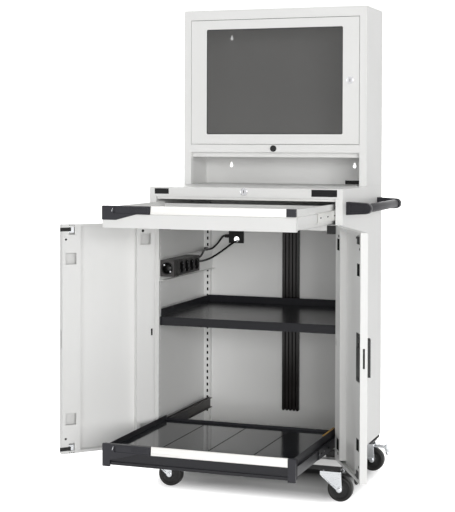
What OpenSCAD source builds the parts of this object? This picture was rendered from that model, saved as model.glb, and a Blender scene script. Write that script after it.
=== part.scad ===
/* [Cabinet] */
// Width over the side panels
cab_w = 650; // [620:5:800]
// Depth of the lower carcass
cab_d = 525; // [515:5:650]
// Height of the carcass underside above the floor
underside_z = 115; // [112:1:130]
// Height of the lower carcass
carcass_h = 865; // [850:5:950]
// Thickness of the carcass sheet
sheet = 1.5; // [1.2:0.1:2]
// Width of the front stiles
stile_w = 23; // [21:0.5:30]
// Depth of the slotted flange behind each front stile
flange_d = 22; // [18:1:30]
// Height of the plinth below the doors
plinth_h = 20; // [18:1:22]
// Height of the floor rail above the carcass underside
sill_h = 29; // [26:1:32]
// Height of the drawer bay above the doors
bay_h = 113; // [112:1:125]
// Height of the fascia
fascia_h = 31; // [28:1:31]
// Height of the lip that hangs below the fascia
fascia_lip = 9; // [4:1:10]
// Depth of the fold under the fascia
fascia_fold = 12.5; // [10:0.5:16]
// Height of the cross rail under the drawer bay
cross_h = 19; // [16:1:25]
// Width of the rear uprights
upright_d = 24; // [20:1:30]
// Pitch of the shelf slots
slot_pitch = 23; // [20:1:30]
// Height of a shelf slot
slot_h = 11; // [8:0.5:14]
// Width of a shelf slot
slot_w = 6.5; // [4:0.5:8]

/* [Monitor housing] */
// Height of the housing above the worktop
housing_h = 600; // [560:5:700]
// Depth of the housing
housing_d = 220; // [180:5:300]
// Width of the housing's front stiles
frame_w = 25; // [22:1:35]
// Height of the head rail over the monitor door
head_h = 34; // [28:1:45]
// Height of the open niche under the crossbar
niche_h = 111; // [90:1:140]
// Height of the crossbar
crossbar_h = 27; // [24:1:35]
// Depth of the folds behind the housing's front frame
fold_d = 22; // [22:1:26]
// Width of the door stop around the monitor door
stop_w = 10; // [6:1:14]
// Distance between the keyholes across the back
keyhole_w = 456; // [300:2:500]
// Distance between the keyholes up the back
keyhole_h = 456; // [300:2:480]
// Height of the lower keyholes above the worktop
keyhole_z = 62.5; // [50:0.5:80]
// Radius of the round foot of a keyhole
keyhole_r = 6; // [5:0.5:8]
// Width of the cable slot in the housing back
cable_slot_w = 47; // [30:1:80]
// Height of the cable slot in the housing back
cable_slot_h = 9; // [8:0.5:20]
// Distance of the cable slot from the right side
cable_slot_in = 81; // [60:1:120]

/* [Monitor door] */
// Thickness of the monitor door
mdoor_t = 20; // [18:0.5:20]
// Gap around the monitor door
mdoor_gap = 1.5; // [1.5:0.1:2.5]
// Width of the door frame at each side of the window
window_side = 56.5; // [50:0.5:90]
// Height of the window
window_h = 360; // [300:2:370]
// Corner radius of the window
window_r = 5; // [2:0.5:15]
// Thickness of the glass
glass_t = 4; // [3:0.5:6]
// Width of glass held behind the window's edge
glass_lap = 12; // [8:1:16]
// Radius of the lock cylinders
lock_r = 10; // [8:0.5:12]
// Room between the glass and the ring of the monitor lock
mlock_gap = 2.5; // [1:0.5:6]

/* [Lower doors] */
// Thickness of the doors
door_t = 22; // [20:0.5:24]
// Gap between the door edges and the carcass
door_gap = 1.5; // [1:0.1:2]
// Thickness of the door sheet
door_sheet = 1.2; // [1:0.1:1.5]
// Distance of the hinge axis from the door's outer corner
pivot_in = 5.5; // [5:0.1:6]
// Radius of the hinge pins
pin_r = 2.5; // [2:0.1:2.6]
// Opening angle of the left door as it stands
left_open = 132; // [100:1:135]
// Opening angle of the right door as it stands
right_open = 118; // [100:1:135]
// Width of the hollow column along the free edge
free_col = 62; // [56:1:70]
// Width of the hollow column along the hinge edge
hinge_col = 64; // [50:1:70]
// Width of the lips along the top and bottom of a door
door_lip = 9; // [7:0.5:12]
// Side of the square service windows in the columns
service = 36; // [30:1:40]
// Height of the lock case
case_h = 140; // [120:2:160]
// Length of the door handle
lever_l = 114; // [90:2:130]
// Travel of the latch rods
rod_travel = 5.5; // [5:0.1:5.8]

/* [Drawers] */
// Width of the drawer fronts
front_w = 602; // [566:1:604]
// Thickness of the drawer fronts
front_t = 20; // [18:1:24]
// Height of the keyboard drawer front
kb_h = 66; // [62:1:66]
// Gap under the keyboard drawer front
kb_gap = 3; // [2:0.5:6]
// How far the keyboard drawer stands open
kb_out = 418; // [300:1:430]
// Depth of the keyboard tray
kb_d = 440; // [420:1:450]
// Height of the pull-out front
po_h = 68; // [64:1:72]
// Height of the pull-out front above the carcass underside
po_rise = 43.5; // [43:0.5:60]
// How far the pull-out stands open
po_out = 445; // [300:1:450]
// Depth of the pull-out tray
po_d = 451; // [430:1:455]
// Distance of the closed pull-out behind the carcass front
po_back = 33; // [32:0.5:40]
// Height of the aluminium handle strips
strip_h = 26; // [20:0.5:30]
// Width of the right-hand end caps
cap_w = 24; // [20:0.5:30]
// Width of the left-hand latch caps
latch_w = 154; // [120:1:180]
// Thickness of the mat in the pull-out
mat_t = 2.5; // [1.5:0.5:4]

/* [Runners] */
// Length of each runner member
runner_l = 450; // [430:5:450]
// Height of the runners
runner_h = 34; // [30:1:38]
// Space for a runner between drawer and carcass
runner_t = 13; // [12.5:0.1:14]

/* [Shelf] */
// Height of the shelf above the carcass underside
shelf_rise = 409; // [340:1:500]
// Height of the shelf's front lip
shelf_lip = 28; // [20:1:32]
// Height of the shelf's side and back walls
shelf_wall = 53; // [40:1:60]
// Depth of the shelf
shelf_d = 461; // [430:1:466]

/* [Power and cables] */
// Length of the socket strip
strip_l = 238; // [220:2:260]
// Depth of the socket strip
strip_d = 49; // [44:1:56]
// Height of the socket strip
strip_z = 54; // [48:1:56]
// Height of the socket strip above the shelf
strip_rise = 160; // [150:1:200]
// Pitch of the sockets
socket_pitch = 45; // [42:1:48]
// Radius of a socket
socket_r = 18.5; // [16:0.5:20]
// Width of the cable cover on the back panel
duct_w = 62; // [50:1:80]
// Depth of the cable cover
duct_d = 12; // [10:0.5:16]
// Radius of the cable outlet in the back panel
outlet_r = 12; // [11:0.5:14]
// Diameter of the mains lead
lead_d = 7; // [6:0.5:7]

/* [Push handle] */
// Diameter of the handle tube
tube_d = 28; // [24:1:32]
// Distance of the tube's axis from the side panel
tube_out = 62; // [55:1:75]
// Height of a handle bracket at the side panel
bracket_h = 41; // [38:1:60]
// Thickness of the handle brackets
bracket_t = 30; // [24:1:36]
// Distance of the handle below the worktop
handle_drop = 61.5; // [50:0.5:90]
// Distance of the brackets from the front and back
bracket_in = 40.5; // [30:0.5:60]

/* [Castors] */
// Diameter of the wheels
wheel_d = 80; // [76:1:80]
// Width of the wheels
wheel_w = 30; // [26:1:34]
// Distance from the swivel axis to the wheel axle
trail = 28; // [26:1:32]
// Distance of the swivel axes from the sides
castor_in_x = 38.5; // [36:0.5:60]
// Distance of the front swivel axes from the front
castor_front_in = 30; // [29:1:50]
// Distance of the rear swivel axes from the back
castor_rear_in = 67; // [45:1:90]
// Height of the black channels that carry the castors
rail_h = 12; // [10:1:12]
// Thickness of the castor plates
plate_t = 3; // [2.5:0.1:3.5]
// Radius of the kingpins
king_r = 6; // [5:0.1:7]
// Radius of the wheel axles
axle_r = 5; // [4:0.1:6]

/* [Hidden] */
$fn = 48;

body_grey = [0.87, 0.87, 0.86];
anthracite = [0.2, 0.2, 0.22];
cap_grey = [0.25, 0.26, 0.3];
black_plastic = [0.06, 0.06, 0.07];
aluminium = [0.93, 0.93, 0.92];
zinc = [0.7, 0.72, 0.73];
chrome = [0.8, 0.8, 0.82];

// Running clearance of a pin in its bore, and of a piece that slides or seats
pin_clear = 0.08;
seat_clear = 0.3;
cut = 1;

half_w = cab_w / 2;
inner_w = half_w - sheet;
front_y = -cab_d / 2;
back_y = cab_d / 2;
top_z = underside_z + carcass_h;
floor_z = underside_z + sheet;
open_half = half_w - stile_w;
bay_z = top_z - bay_h;
plinth_z = underside_z + plinth_h;
recess_y = front_y + door_t + door_gap;
fascia_z = top_z - fascia_h;
upright_y = back_y - sheet - upright_d;
block_w = 34;

housing_top_z = top_z + housing_h;
housing_y = back_y - housing_d;
frame_half = half_w - frame_w;
bar_z = top_z + niche_h;
bar_top = bar_z + crossbar_h;
head_z = housing_top_z - head_h;
stop_y = housing_y + fold_d;
mdoor_z0 = bar_top + mdoor_gap;
mdoor_z1 = head_z - mdoor_gap;
mdoor_half = frame_half - mdoor_gap;
window_z = (mdoor_z0 + mdoor_z1) / 2 + 1;
mpin_in = 3;
mpin_r = 1.6;
window_w = 2 * (mdoor_half - window_side);
mlock_x = window_w / 2 + glass_lap + mlock_gap + lock_r + 1;
mlock_in = mdoor_half - mlock_x;
mlock_z = window_z;

pivot_x = half_w - pivot_in;
pivot_y = front_y + pivot_in;
leaf_x0 = door_gap - pivot_in;
leaf_w = half_w - 2 * door_gap;
leaf_x1 = leaf_x0 + leaf_w;
leaf_y0 = -pivot_in;
leaf_y1 = door_t - pivot_in;
pin_gap = 2.5;
leaf_z0 = plinth_z + pin_gap;
leaf_z1 = bay_z - pin_gap;
leaf_mid = (leaf_z0 + leaf_z1) / 2;
service_x = leaf_x1 - door_sheet - 10 - service;
rod_x = leaf_x1 - 22;
rod_w = 12;
rod_t = 4;
rod_y = leaf_y0 + door_t / 2;
case_x0 = leaf_x1 - 50;
case_x1 = leaf_x1 - 6;
case_sink = 0.5;
spindle_z = leaf_mid + lever_l / 2 - 20;
spindle_r = 4;
spindle_l = 11;
guide_in = 12;
guide_h = 18;
guide_side = 10;
guide_edge = 8;
guide_sink = 4;
hook_t = 1.2;
hook_h = 12;
hook_l = 37;
hook_reach = 8;
hook_tab = 6;
hook_drop = 7;

front_half = front_w / 2;
tray_half = open_half - runner_t;
kb_z = bay_z + kb_gap;
kb_front = front_y - kb_out;
po_z = underside_z + po_rise;
po_front = front_y + po_back - po_out;
latch_x0 = -front_half;
latch_x1 = latch_x0 + latch_w;
grip_t = 7;
latch_play = 7;

label_in = 18;
label_left = [49, 18];
label_right = [83, 22];
label_t = 0.6;

clip_l = 14;
clip_h = 5;
clip_w = 8;
clip_hook = 2;
clip_foot = 6;
upright_slot_in = 8;

clip_rise = 6.5;
slot_z0 = plinth_z + 18;
clip_slot = round((underside_z + shelf_rise + shelf_lip - sheet - clip_rise - slot_z0) / slot_pitch);
clip_z = slot_z0 + clip_slot * slot_pitch + seat_clear;
shelf_floor = slot_z0 + clip_slot * slot_pitch + clip_rise;
shelf_z = shelf_floor + sheet - shelf_lip;
shelf_half = open_half - 3;
shelf_y = recess_y + 4;

bracket_face = open_half - seat_clear - sheet;
power_z = shelf_z + strip_rise;
power_y = recess_y + 7;
power_x = -bracket_face + strip_d;
gland_l = 24;
outlet_x = -208;
outlet_rise = 92;
outlet_z = power_z + outlet_rise;
black_plate = [57, 52];

rail_z = underside_z - rail_h;
castor_z = rail_z - plate_t;
race_h = 4;
king_x = half_w - castor_in_x;
king_front = front_y + castor_front_in;
king_rear = back_y - castor_rear_in;
wheel_r = wheel_d / 2;
fork_top = castor_z - race_h - seat_clear;
crown_z = wheel_r + wheel_r + 4;
crown_t = 4;
leg_gap = 2.5;
leg_t = 3;
leg_y = wheel_w / 2 + leg_gap;
pedal_x = 3;
pedal_z = wheel_r + 7;

handle_z = top_z - handle_drop;
handle_y = cab_d / 2 - bracket_in;

// A block between two corners
module block(x0, x1, y0, y1, z0, z1) {
    translate([x0, y0, z0]) cube([x1 - x0, y1 - y0, z1 - z0]);
}

// A copy on each side of the cabinet
module both_sides() {
    children();
    mirror([1, 0, 0]) children();
}

// A profile drawn in Y and Z, run along X
module along_x(x0, x1) {
    translate([x0, 0, 0]) rotate([90, 0, 90]) linear_extrude(x1 - x0) children();
}

// A profile drawn in X and Z, run along Y
module along_y(y0, y1) {
    translate([0, y1, 0]) rotate([90, 0, 0]) linear_extrude(y1 - y0) children();
}

// A round bar along Y
module rod_y(x, y0, y1, z, r) {
    translate([x, y0, z]) rotate([-90, 0, 0]) cylinder(r = r, h = y1 - y0);
}

// A round bar along X
module rod_x(x0, x1, y, z, r) {
    translate([x0, y, z]) rotate([0, 90, 0]) cylinder(r = r, h = x1 - x0);
}

// Shelf slots up a column, cut along X or along Y
slot_count = floor((bay_z - slot_z0 - 12) / slot_pitch) + 1;
module slots_through_x(x0, x1, y) {
    for (i = [0:slot_count - 1])
        block(x0, x1, y - slot_w / 2, y + slot_w / 2, slot_z0 + i * slot_pitch,
            slot_z0 + i * slot_pitch + slot_h);
}
module slots_through_y(y0, y1, x) {
    for (i = [0:slot_count - 1])
        block(x - slot_w / 2, x + slot_w / 2, y0, y1, slot_z0 + i * slot_pitch,
            slot_z0 + i * slot_pitch + slot_h);
}

// Carcass

module side_panel() {
    difference() {
        union() {
            block(inner_w, half_w, recess_y, back_y - sheet, underside_z, top_z - sheet);
            block(inner_w, half_w, front_y + sheet, recess_y, underside_z, plinth_z);
            block(inner_w, half_w, front_y + sheet, recess_y, bay_z, top_z - sheet);
            block(open_half, half_w, front_y, front_y + sheet, bay_z, fascia_z);
            block(open_half, open_half + sheet, front_y, upright_y, bay_z, fascia_z);
            block(open_half, half_w, front_y, upright_y, bay_z, bay_z + sheet);
            block(open_half, half_w, recess_y, recess_y + sheet, plinth_z, bay_z + sheet);
            block(open_half, open_half + sheet, recess_y, recess_y + flange_d, plinth_z, bay_z);
            block(half_w - stile_w + 4, inner_w + sheet / 2, back_y - 2 * sheet, back_y - sheet,
                floor_z + cut, top_z - sheet);
        }
        slots_through_x(open_half - cut, open_half + sheet + cut, recess_y + flange_d / 2);
    }
}

module side_panels() {
    color(body_grey) both_sides() side_panel();
}

module back_panel() {
    color(body_grey) difference() {
        block(-half_w, half_w, back_y - sheet, back_y, underside_z, top_z - sheet);
        rod_y(outlet_x, back_y - sheet - cut, back_y + cut, outlet_z, outlet_r);
    }
}

// Hole for a latch rod in the sheet above or below the closed right door
module rod_hole(z) {
    x = pivot_x - rod_x;
    y = pivot_y + rod_y;
    block(x - rod_w / 2 - 1, x + rod_w / 2 + 1, y - rod_t / 2 - 1, y + rod_t / 2 + 1, z - cut,
        z + sheet + cut);
}

module floor_pan() {
    color(body_grey) difference() {
        union() {
            block(-inner_w, inner_w, front_y + sheet, back_y - sheet, underside_z, floor_z);
            block(-half_w, half_w, front_y, front_y + sheet, underside_z, plinth_z);
            block(-inner_w, inner_w, front_y + sheet, recess_y, plinth_z - sheet, plinth_z);
            block(block_w - open_half, open_half - block_w, recess_y - sheet, recess_y + sheet,
                plinth_z - sheet, plinth_z);
            block(block_w - open_half, open_half - block_w, recess_y, recess_y + sheet,
                plinth_z - sheet, underside_z + sill_h);
        }
        rod_hole(plinth_z - sheet);
    }
}

module worktop() {
    color(body_grey) block(-half_w, half_w, front_y, back_y, top_z - sheet, top_z);
}

module front_rails() {
    color(body_grey) {
        difference() {
            union() {
                block(-half_w, half_w, front_y, front_y + sheet, fascia_z, top_z - sheet);
                block(-open_half, open_half, front_y + sheet, front_y + fascia_fold, fascia_z,
                    fascia_z + sheet);
                block(-open_half, open_half, front_y + fascia_fold - sheet, front_y + fascia_fold,
                    fascia_z - fascia_lip, fascia_z + sheet);
            }
            rod_y(0, front_y - cut, front_y + sheet + cut, fascia_lock_z, lock_r + pin_clear);
        }
        difference() {
            union() {
                block(block_w - open_half, open_half - block_w, recess_y, recess_y + sheet,
                    bay_z - cross_h, bay_z + sheet);
                block(-open_half, open_half, front_y, back_y - sheet, bay_z, bay_z + sheet);
            }
            rod_hole(bay_z);
        }
    }
}

module rear_uprights() {
    color(body_grey) both_sides() difference() {
        union() {
            block(open_half, inner_w, upright_y, upright_y + sheet, floor_z, bay_z);
            block(open_half, open_half + sheet, upright_y, back_y - sheet, floor_z, bay_z);
        }
        slots_through_y(upright_y - cut, upright_y + sheet + cut, open_half + upright_slot_in);
    }
}

module hinge_blocks() {
    color(black_plastic) both_sides() {
        block(open_half - block_w, open_half, recess_y, recess_y + flange_d,
            bay_z - cross_h - 10, bay_z);
        block(open_half - block_w, open_half, recess_y, recess_y + flange_d,
            plinth_z + 2, po_z - seat_clear - 1);
    }
}

module hinge_pins() {
    pin_l = 9;
    mpin_l = 8;
    washer_r = pivot_in - 0.5;
    color(zinc) both_sides() translate([pivot_x, pivot_y, 0]) {
        translate([0, 0, bay_z - pin_l]) cylinder(r = pin_r, h = pin_l);
        translate([0, 0, bay_z - pin_gap + seat_clear])
            cylinder(r = washer_r, h = pin_gap - seat_clear);
        translate([0, 0, plinth_z]) cylinder(r = pin_r, h = pin_l);
        translate([0, 0, plinth_z]) cylinder(r = washer_r, h = pin_gap - seat_clear);
    }
    color(zinc) translate([mpin_in - mdoor_half, housing_y + mpin_in, 0]) {
        translate([0, 0, head_z - mpin_l]) cylinder(r = mpin_r, h = mpin_l);
        translate([0, 0, bar_top]) cylinder(r = mpin_r, h = mpin_l);
    }
}

// Monitor housing

module housing_side() {
    block(inner_w, half_w, housing_y + sheet, back_y - sheet, top_z, housing_top_z - sheet);
    block(frame_half, half_w, housing_y, housing_y + sheet, top_z, housing_top_z - sheet);
    block(frame_half, frame_half + sheet, housing_y, stop_y + sheet, top_z, housing_top_z - sheet);
    block(frame_half - stop_w, frame_half + sheet, stop_y, stop_y + sheet, bar_top,
        head_z - stop_w);
}

module housing_shell() {
    color(body_grey) {
        both_sides() housing_side();
        block(-half_w, half_w, housing_y, back_y, housing_top_z - sheet, housing_top_z);
        block(-frame_half, frame_half, housing_y, housing_y + sheet, head_z, housing_top_z);
        block(-frame_half, frame_half, housing_y, stop_y + sheet, head_z, head_z + sheet);
        block(-frame_half, frame_half, stop_y, stop_y + sheet, head_z - stop_w, head_z + sheet);
    }
}

// A keyhole: a round foot with a narrower slot above it
module keyhole(x, z) {
    slot_r = keyhole_r * 0.5;
    rod_y(x, back_y - sheet - cut, back_y + cut, z, keyhole_r);
    block(x - slot_r, x + slot_r, back_y - sheet - cut, back_y + cut, z, z + keyhole_r * 2);
}

module housing_back() {
    color(body_grey) difference() {
        block(-half_w, half_w, back_y - sheet, back_y, top_z, housing_top_z - sheet);
        for (x = [-keyhole_w / 2, keyhole_w / 2], z = [0, keyhole_h])
            keyhole(x, top_z + keyhole_z + z);
        block(half_w - cable_slot_in - cable_slot_w, half_w - cable_slot_in, back_y - sheet - cut,
            back_y + cut, top_z + 2, top_z + 2 + cable_slot_h);
    }
}

module crossbar() {
    lip_drop = 16;
    color(body_grey) difference() {
        union() {
            block(-frame_half, frame_half, housing_y, housing_y + sheet, bar_z, bar_top);
            block(-frame_half, frame_half, housing_y, stop_y + sheet, bar_top - sheet, bar_top);
            block(-frame_half, frame_half, stop_y, stop_y + sheet, bar_z - lip_drop,
                bar_top);
            block(-frame_half, frame_half, housing_y, housing_y + fold_d / 2, bar_z, bar_z + sheet);
        }
        rod_y(0, housing_y - cut, housing_y + sheet + cut, (bar_z + bar_top) / 2, plug_r);
    }
}

plug_r = 9;
module cable_fittings() {
    edge = 2;
    slot_x1 = half_w - cable_slot_in;
    slot_x0 = slot_x1 - cable_slot_w;
    slot_z = top_z + 2;
    color(black_plastic) {
        // Plug in the crossbar
        rod_y(0, housing_y - 2, housing_y + sheet + 4, (bar_z + bar_top) / 2, plug_r - 0.2);
        rod_y(0, housing_y - 2, housing_y, (bar_z + bar_top) / 2, plug_r + 2);
        // Edging of the cable slot in the housing back
        difference() {
            block(slot_x0 - edge, slot_x1 + edge, back_y - sheet - edge, back_y - sheet,
                top_z, slot_z + cable_slot_h + edge);
            block(slot_x0, slot_x1, back_y - sheet - edge - cut, back_y - sheet + cut, slot_z,
                slot_z + cable_slot_h);
        }
        // Plate over the cable outlet
        difference() {
            block(outlet_x - black_plate.x / 2, outlet_x + black_plate.x / 2,
                back_y - sheet - 3, back_y - sheet, outlet_z - outlet_r - 1.5,
                outlet_z - outlet_r - 1.5 + black_plate.y);
            rod_y(outlet_x, back_y - sheet - 3 - cut, back_y - sheet + cut, outlet_z, outlet_r);
        }
        // Gland of the second lead on the plate's edge
        block(link_end.x + 0.2, outlet_x - black_plate.x / 2, back_y - sheet - gland_w,
            back_y - sheet, link_end.z - gland_w / 2, link_end.z + gland_w / 2);
        // Clip of the second lead, standing on the fold of the socket bracket
        clip_x = link_clip.x - lead_d / 2 - 1;
        block(clip_x - 4, link_clip.x + lead_d / 2, link_clip.y - 5, link_clip.y + 5,
            power_z + strip_z + 2, link_clip.z - lead_d / 2 - 0.4);
        block(clip_x - 4, clip_x, link_clip.y - 5, link_clip.y + 5, power_z + strip_z + 2,
            link_clip.z + lead_d / 2 + 3);
        block(clip_x - 4, link_clip.x + lead_d / 2, link_clip.y - 5, link_clip.y + 5,
            link_clip.z + lead_d / 2 + 1, link_clip.z + lead_d / 2 + 3);
    }
}

module label_plate(x, size) {
    mid = fascia_z + 17;
    block(x - size.x / 2, x + size.x / 2, front_y - label_t, front_y, mid - size.y / 2,
        mid + size.y / 2);
}

module label_plates() {
    color(black_plastic) {
        label_plate(-half_w + label_in + label_left.x / 2, label_left);
        label_plate(half_w - label_in - label_right.x / 2, label_right);
    }
}

fascia_lock_z = fascia_z + 18.5;
module fascia_lock() {
    color(chrome) difference() {
        union() {
            rod_y(0, front_y - 2.3, front_y - seat_clear, fascia_lock_z, lock_r + 1);
            rod_y(0, front_y - 2, front_y + 14, fascia_lock_z, lock_r);
        }
        block(-1, 1, front_y - 4, front_y - 0.8, fascia_lock_z - 5, fascia_lock_z + 5);
    }
    color(zinc) block(-6, 24, front_y + 14, front_y + 16, fascia_lock_z - 6, fascia_lock_z + 6);
}

// Interior

module shelf() {
    hem = 10;
    back = shelf_y + shelf_d;
    color(anthracite) {
        block(-shelf_half, shelf_half, shelf_y, back, shelf_floor, shelf_floor + sheet);
        block(-shelf_half, shelf_half, shelf_y, shelf_y + sheet, shelf_z, shelf_z + shelf_lip);
        block(-shelf_half, shelf_half, shelf_y, shelf_y + hem, shelf_z, shelf_z + sheet);
        both_sides() block(shelf_half - sheet, shelf_half, shelf_y + hem, back, shelf_floor,
            shelf_z + shelf_wall);
        block(-shelf_half, shelf_half, back - sheet, back, shelf_floor, shelf_z + shelf_wall);
    }
}

// Four clips in the slots nearest below the shelf
module shelf_clips() {
    front = recess_y + flange_d / 2;
    wide = slot_w - 2 * seat_clear;
    slot_x = open_half + upright_slot_in;
    color(zinc) both_sides() {
        // Front clip, hooked through the stile flange along X
        block(open_half - clip_l, open_half + sheet + clip_hook, front - wide / 2,
            front + wide / 2, clip_z, clip_z + clip_h);
        block(open_half - clip_l, open_half - seat_clear, front - clip_w / 2, front + clip_w / 2,
            clip_z, shelf_floor);
        // Rear clip, hooked through the upright along Y
        block(slot_x - wide / 2, slot_x + wide / 2, upright_y - clip_l,
            upright_y + sheet + clip_hook, clip_z, clip_z + clip_h);
        block(shelf_half - clip_l, slot_x + wide / 2, upright_y - clip_l - clip_foot,
            upright_y - seat_clear, clip_z, shelf_floor);
    }
}

module cable_duct() {
    ribs = 5;
    foot_z = underside_z + 58;
    gap = 3;
    rib_w = (duct_w - (ribs - 1) * gap) / ribs;
    base = 3;
    color(black_plastic) {
        block(-duct_w / 2, duct_w / 2, back_y - sheet - base, back_y - sheet,
            foot_z + rib_w / 2, bay_z - 10);
        for (i = [0:ribs - 1]) {
            x = -duct_w / 2 + i * (rib_w + gap);
            block(x, x + rib_w, back_y - sheet - duct_d, back_y - sheet, foot_z + rib_w / 2,
                bay_z - 10);
            rod_y(x + rib_w / 2, back_y - sheet - duct_d, back_y - sheet, foot_z + rib_w / 2,
                rib_w / 2);
        }
    }
}

module power_bracket() {
    fold = 13;
    y0 = recess_y + 2;
    y1 = back_y - sheet - 3;
    color(body_grey) {
        block(-bracket_face - sheet, -bracket_face, y0, y1, power_z - 14, power_z + strip_z + 2);
        block(-bracket_face - sheet, -bracket_face + fold, y0, y1, power_z - 14,
            power_z - 14 + sheet);
        block(-bracket_face - sheet, -bracket_face + fold, power_y + strip_l + gland_l, y1,
            power_z + strip_z + 2 - sheet, power_z + strip_z + 2);
    }
}

socket_count = 4;
first_socket = 71;
recess = 10;
module power_strip() {
    y1 = power_y + strip_l;
    mid = power_z + strip_z / 2;
    end_block = 46;
    color(black_plastic) {
        difference() {
            union() {
                block(-bracket_face, power_x - 1.5, power_y, y1, power_z + 1.5,
                    power_z + strip_z - 1.5);
                block(-bracket_face, power_x, power_y, power_y + end_block, power_z,
                    power_z + strip_z);
                block(-bracket_face, power_x, power_y + end_block + 2, y1 - 4, power_z + 1,
                    power_z + strip_z);
            }
            for (i = [0:socket_count - 1])
                rod_x(power_x - recess, power_x + cut, power_y + first_socket + i * socket_pitch,
                    mid, socket_r);
            rod_y(power_x - strip_d / 2, power_y - cut, power_y + recess, mid, socket_r);
        }
        // Strain reliefs where the two leads leave
        translate([lead_start.x, y1, lead_start.z]) rotate([-90, 0, 0])
            cylinder(r1 = 7, r2 = lead_d / 2 + 0.6, h = gland_l);
        translate([link_start.x, y1, link_start.z]) rotate([-90, 0, 0])
            cylinder(r1 = 7, r2 = lead_d / 2 + 0.6, h = gland_l);
    }
}

// Values of the coil, whose four layers spiral in and out at a steady rate
coil_c = [outlet_x + 90, back_y + 63];
coil_r0 = 32;
coil_pitch = 7.8;
coil_layer = 7.7;
layer_turns = 1.75;
coil_layers = 4;
coil_steps = 24;
coil_r1 = coil_r0 + coil_pitch * layer_turns;

// Leads. The mains lead runs from its strain relief through the outlet to the floor, and the second
// lead from the strip over the wall clip to the outlet plate. Inside the cabinet each point is a
// share of the way between two fixed points. Behind it each point is an offset from the outlet.
lead_start = [-279, power_y + strip_l + gland_l, power_z + strip_z / 2];
lead_out = [outlet_x, back_y, outlet_z];
function between(a, b, share) = [for (k = [0:2]) a[k] + (b[k] - a[k]) * share[k]];
lead_inside = [
    [0, 0, 0], [0, 0.065, 0], [0.014, 0.138, -0.008], [0.042, 0.224, -0.015],
    [0.085, 0.318, -0.008], [0.155, 0.413, 0.031], [0.254, 0.508, 0.108], [0.38, 0.602, 0.231],
    [0.521, 0.692, 0.385], [0.676, 0.778, 0.554], [0.817, 0.856, 0.723], [0.93, 0.92, 0.846],
    [0.986, 0.972, 0.892]
];
lead_behind = [
    [0, 4.5, 770], [0, 17.5, 769.5], [0, 29.5, 766], [0, 39.5, 759], [0, 46.5, 749],
    [0, 50.5, 737], [0, 51.5, 722], [0, 50.5, 700], [0, 49.5, 640], [0, 49.5, 560],
    [1, 49.5, 460], [2, 49.5, 360], [3, 49.5, 260], [4, 49.5, 160], [5, 49.5, 90],
    [6, 48.5, 60], [8, 47.5, 42], [12, 45.5, 26], [19, 42.5, 13], [28, 38.5, 6],
    [39, 33.5, 3.6], [51, 27, 3.5], [62, 21, 3.5], [74, 17.35, 3.5]
];
lead_route = concat(
    [for (p = lead_inside) between(lead_start, lead_out, p)],
    [for (p = lead_behind) [outlet_x + p.x, back_y + p.y, p.z]],
    [[coil_c.x - lead_d, coil_c.y - coil_r1, lead_d / 2]]
);
link_start = [-266, lead_start.y, power_z + strip_z - 10];
link_clip_in = 10.7;
link_clip_up = 7;
link_clip_share = 0.611;
link_clip = between([-bracket_face + link_clip_in, lead_start.y, power_z + strip_z + link_clip_up],
    [-bracket_face + link_clip_in, back_y, power_z + strip_z + link_clip_up],
    [0, link_clip_share, 0]);
gland_w = 12;
link_end = [outlet_x - black_plate.x / 2 - gland_w, back_y - sheet - 10, outlet_z + 12];
link_first = [
    [0, 0, 0], [0, 0.099, 0], [0.085, 0.225, 0.206], [0.255, 0.38, 0.5], [0.468, 0.535, 0.794],
    [0.723, 0.69, 0.988], [0.936, 0.845, 1.012]
];
link_second = [
    [0, 0, 0], [0, 0.177, -0.035], [0.061, 0.342, -0.047], [0.183, 0.494, 0.023],
    [0.317, 0.627, 0.174], [0.463, 0.747, 0.372], [0.585, 0.848, 0.593], [0.683, 0.93, 0.791],
    [0.78, 0.982, 0.935], [0.89, 1, 1], [1, 1, 1]
];
link_route = concat(
    [for (p = link_first) between(link_start, link_clip, p)],
    [for (p = link_second) between(link_clip, link_end, p)]
);

function climbs(t) = [for (j = [1:coil_layers - 1])
    min(1, max(0, (t - j * layer_turns + 0.25) / 0.5))];
function total(v, i = 0) = i < len(v) ? v[i] + total(v, i + 1) : 0;
function coil_radius(t) = let (u = t / layer_turns, k = min(coil_layers - 1, floor(u)), f = u - k)
    k % 2 == 0 ? coil_r1 - coil_pitch * layer_turns * f : coil_r0 + coil_pitch * layer_turns * f;
function coil_point(t) = [
    coil_c.x + coil_radius(t) * sin(360 * t),
    coil_c.y - coil_radius(t) * cos(360 * t),
    lead_d / 2 + coil_layer * total(climbs(t))
];
coil_turns = layer_turns * coil_layers;
coil_tail = [[12, 0, 0], [24, 0.2, -1.8], [36, 0.4, -4.6], [48, 0.5, -6.6], [57, 0.5, -7.1],
    [64, 0.5, -7.1]];
coil_top = coil_point(coil_turns);
coil_route = concat(
    [[coil_c.x - lead_d, coil_c.y - coil_r1, lead_d / 2]],
    [for (i = [0:coil_turns * coil_steps]) coil_point(i / coil_steps)],
    [for (p = coil_tail) coil_top + p]
);
plug_at = coil_top + coil_tail[len(coil_tail) - 1];

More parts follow.
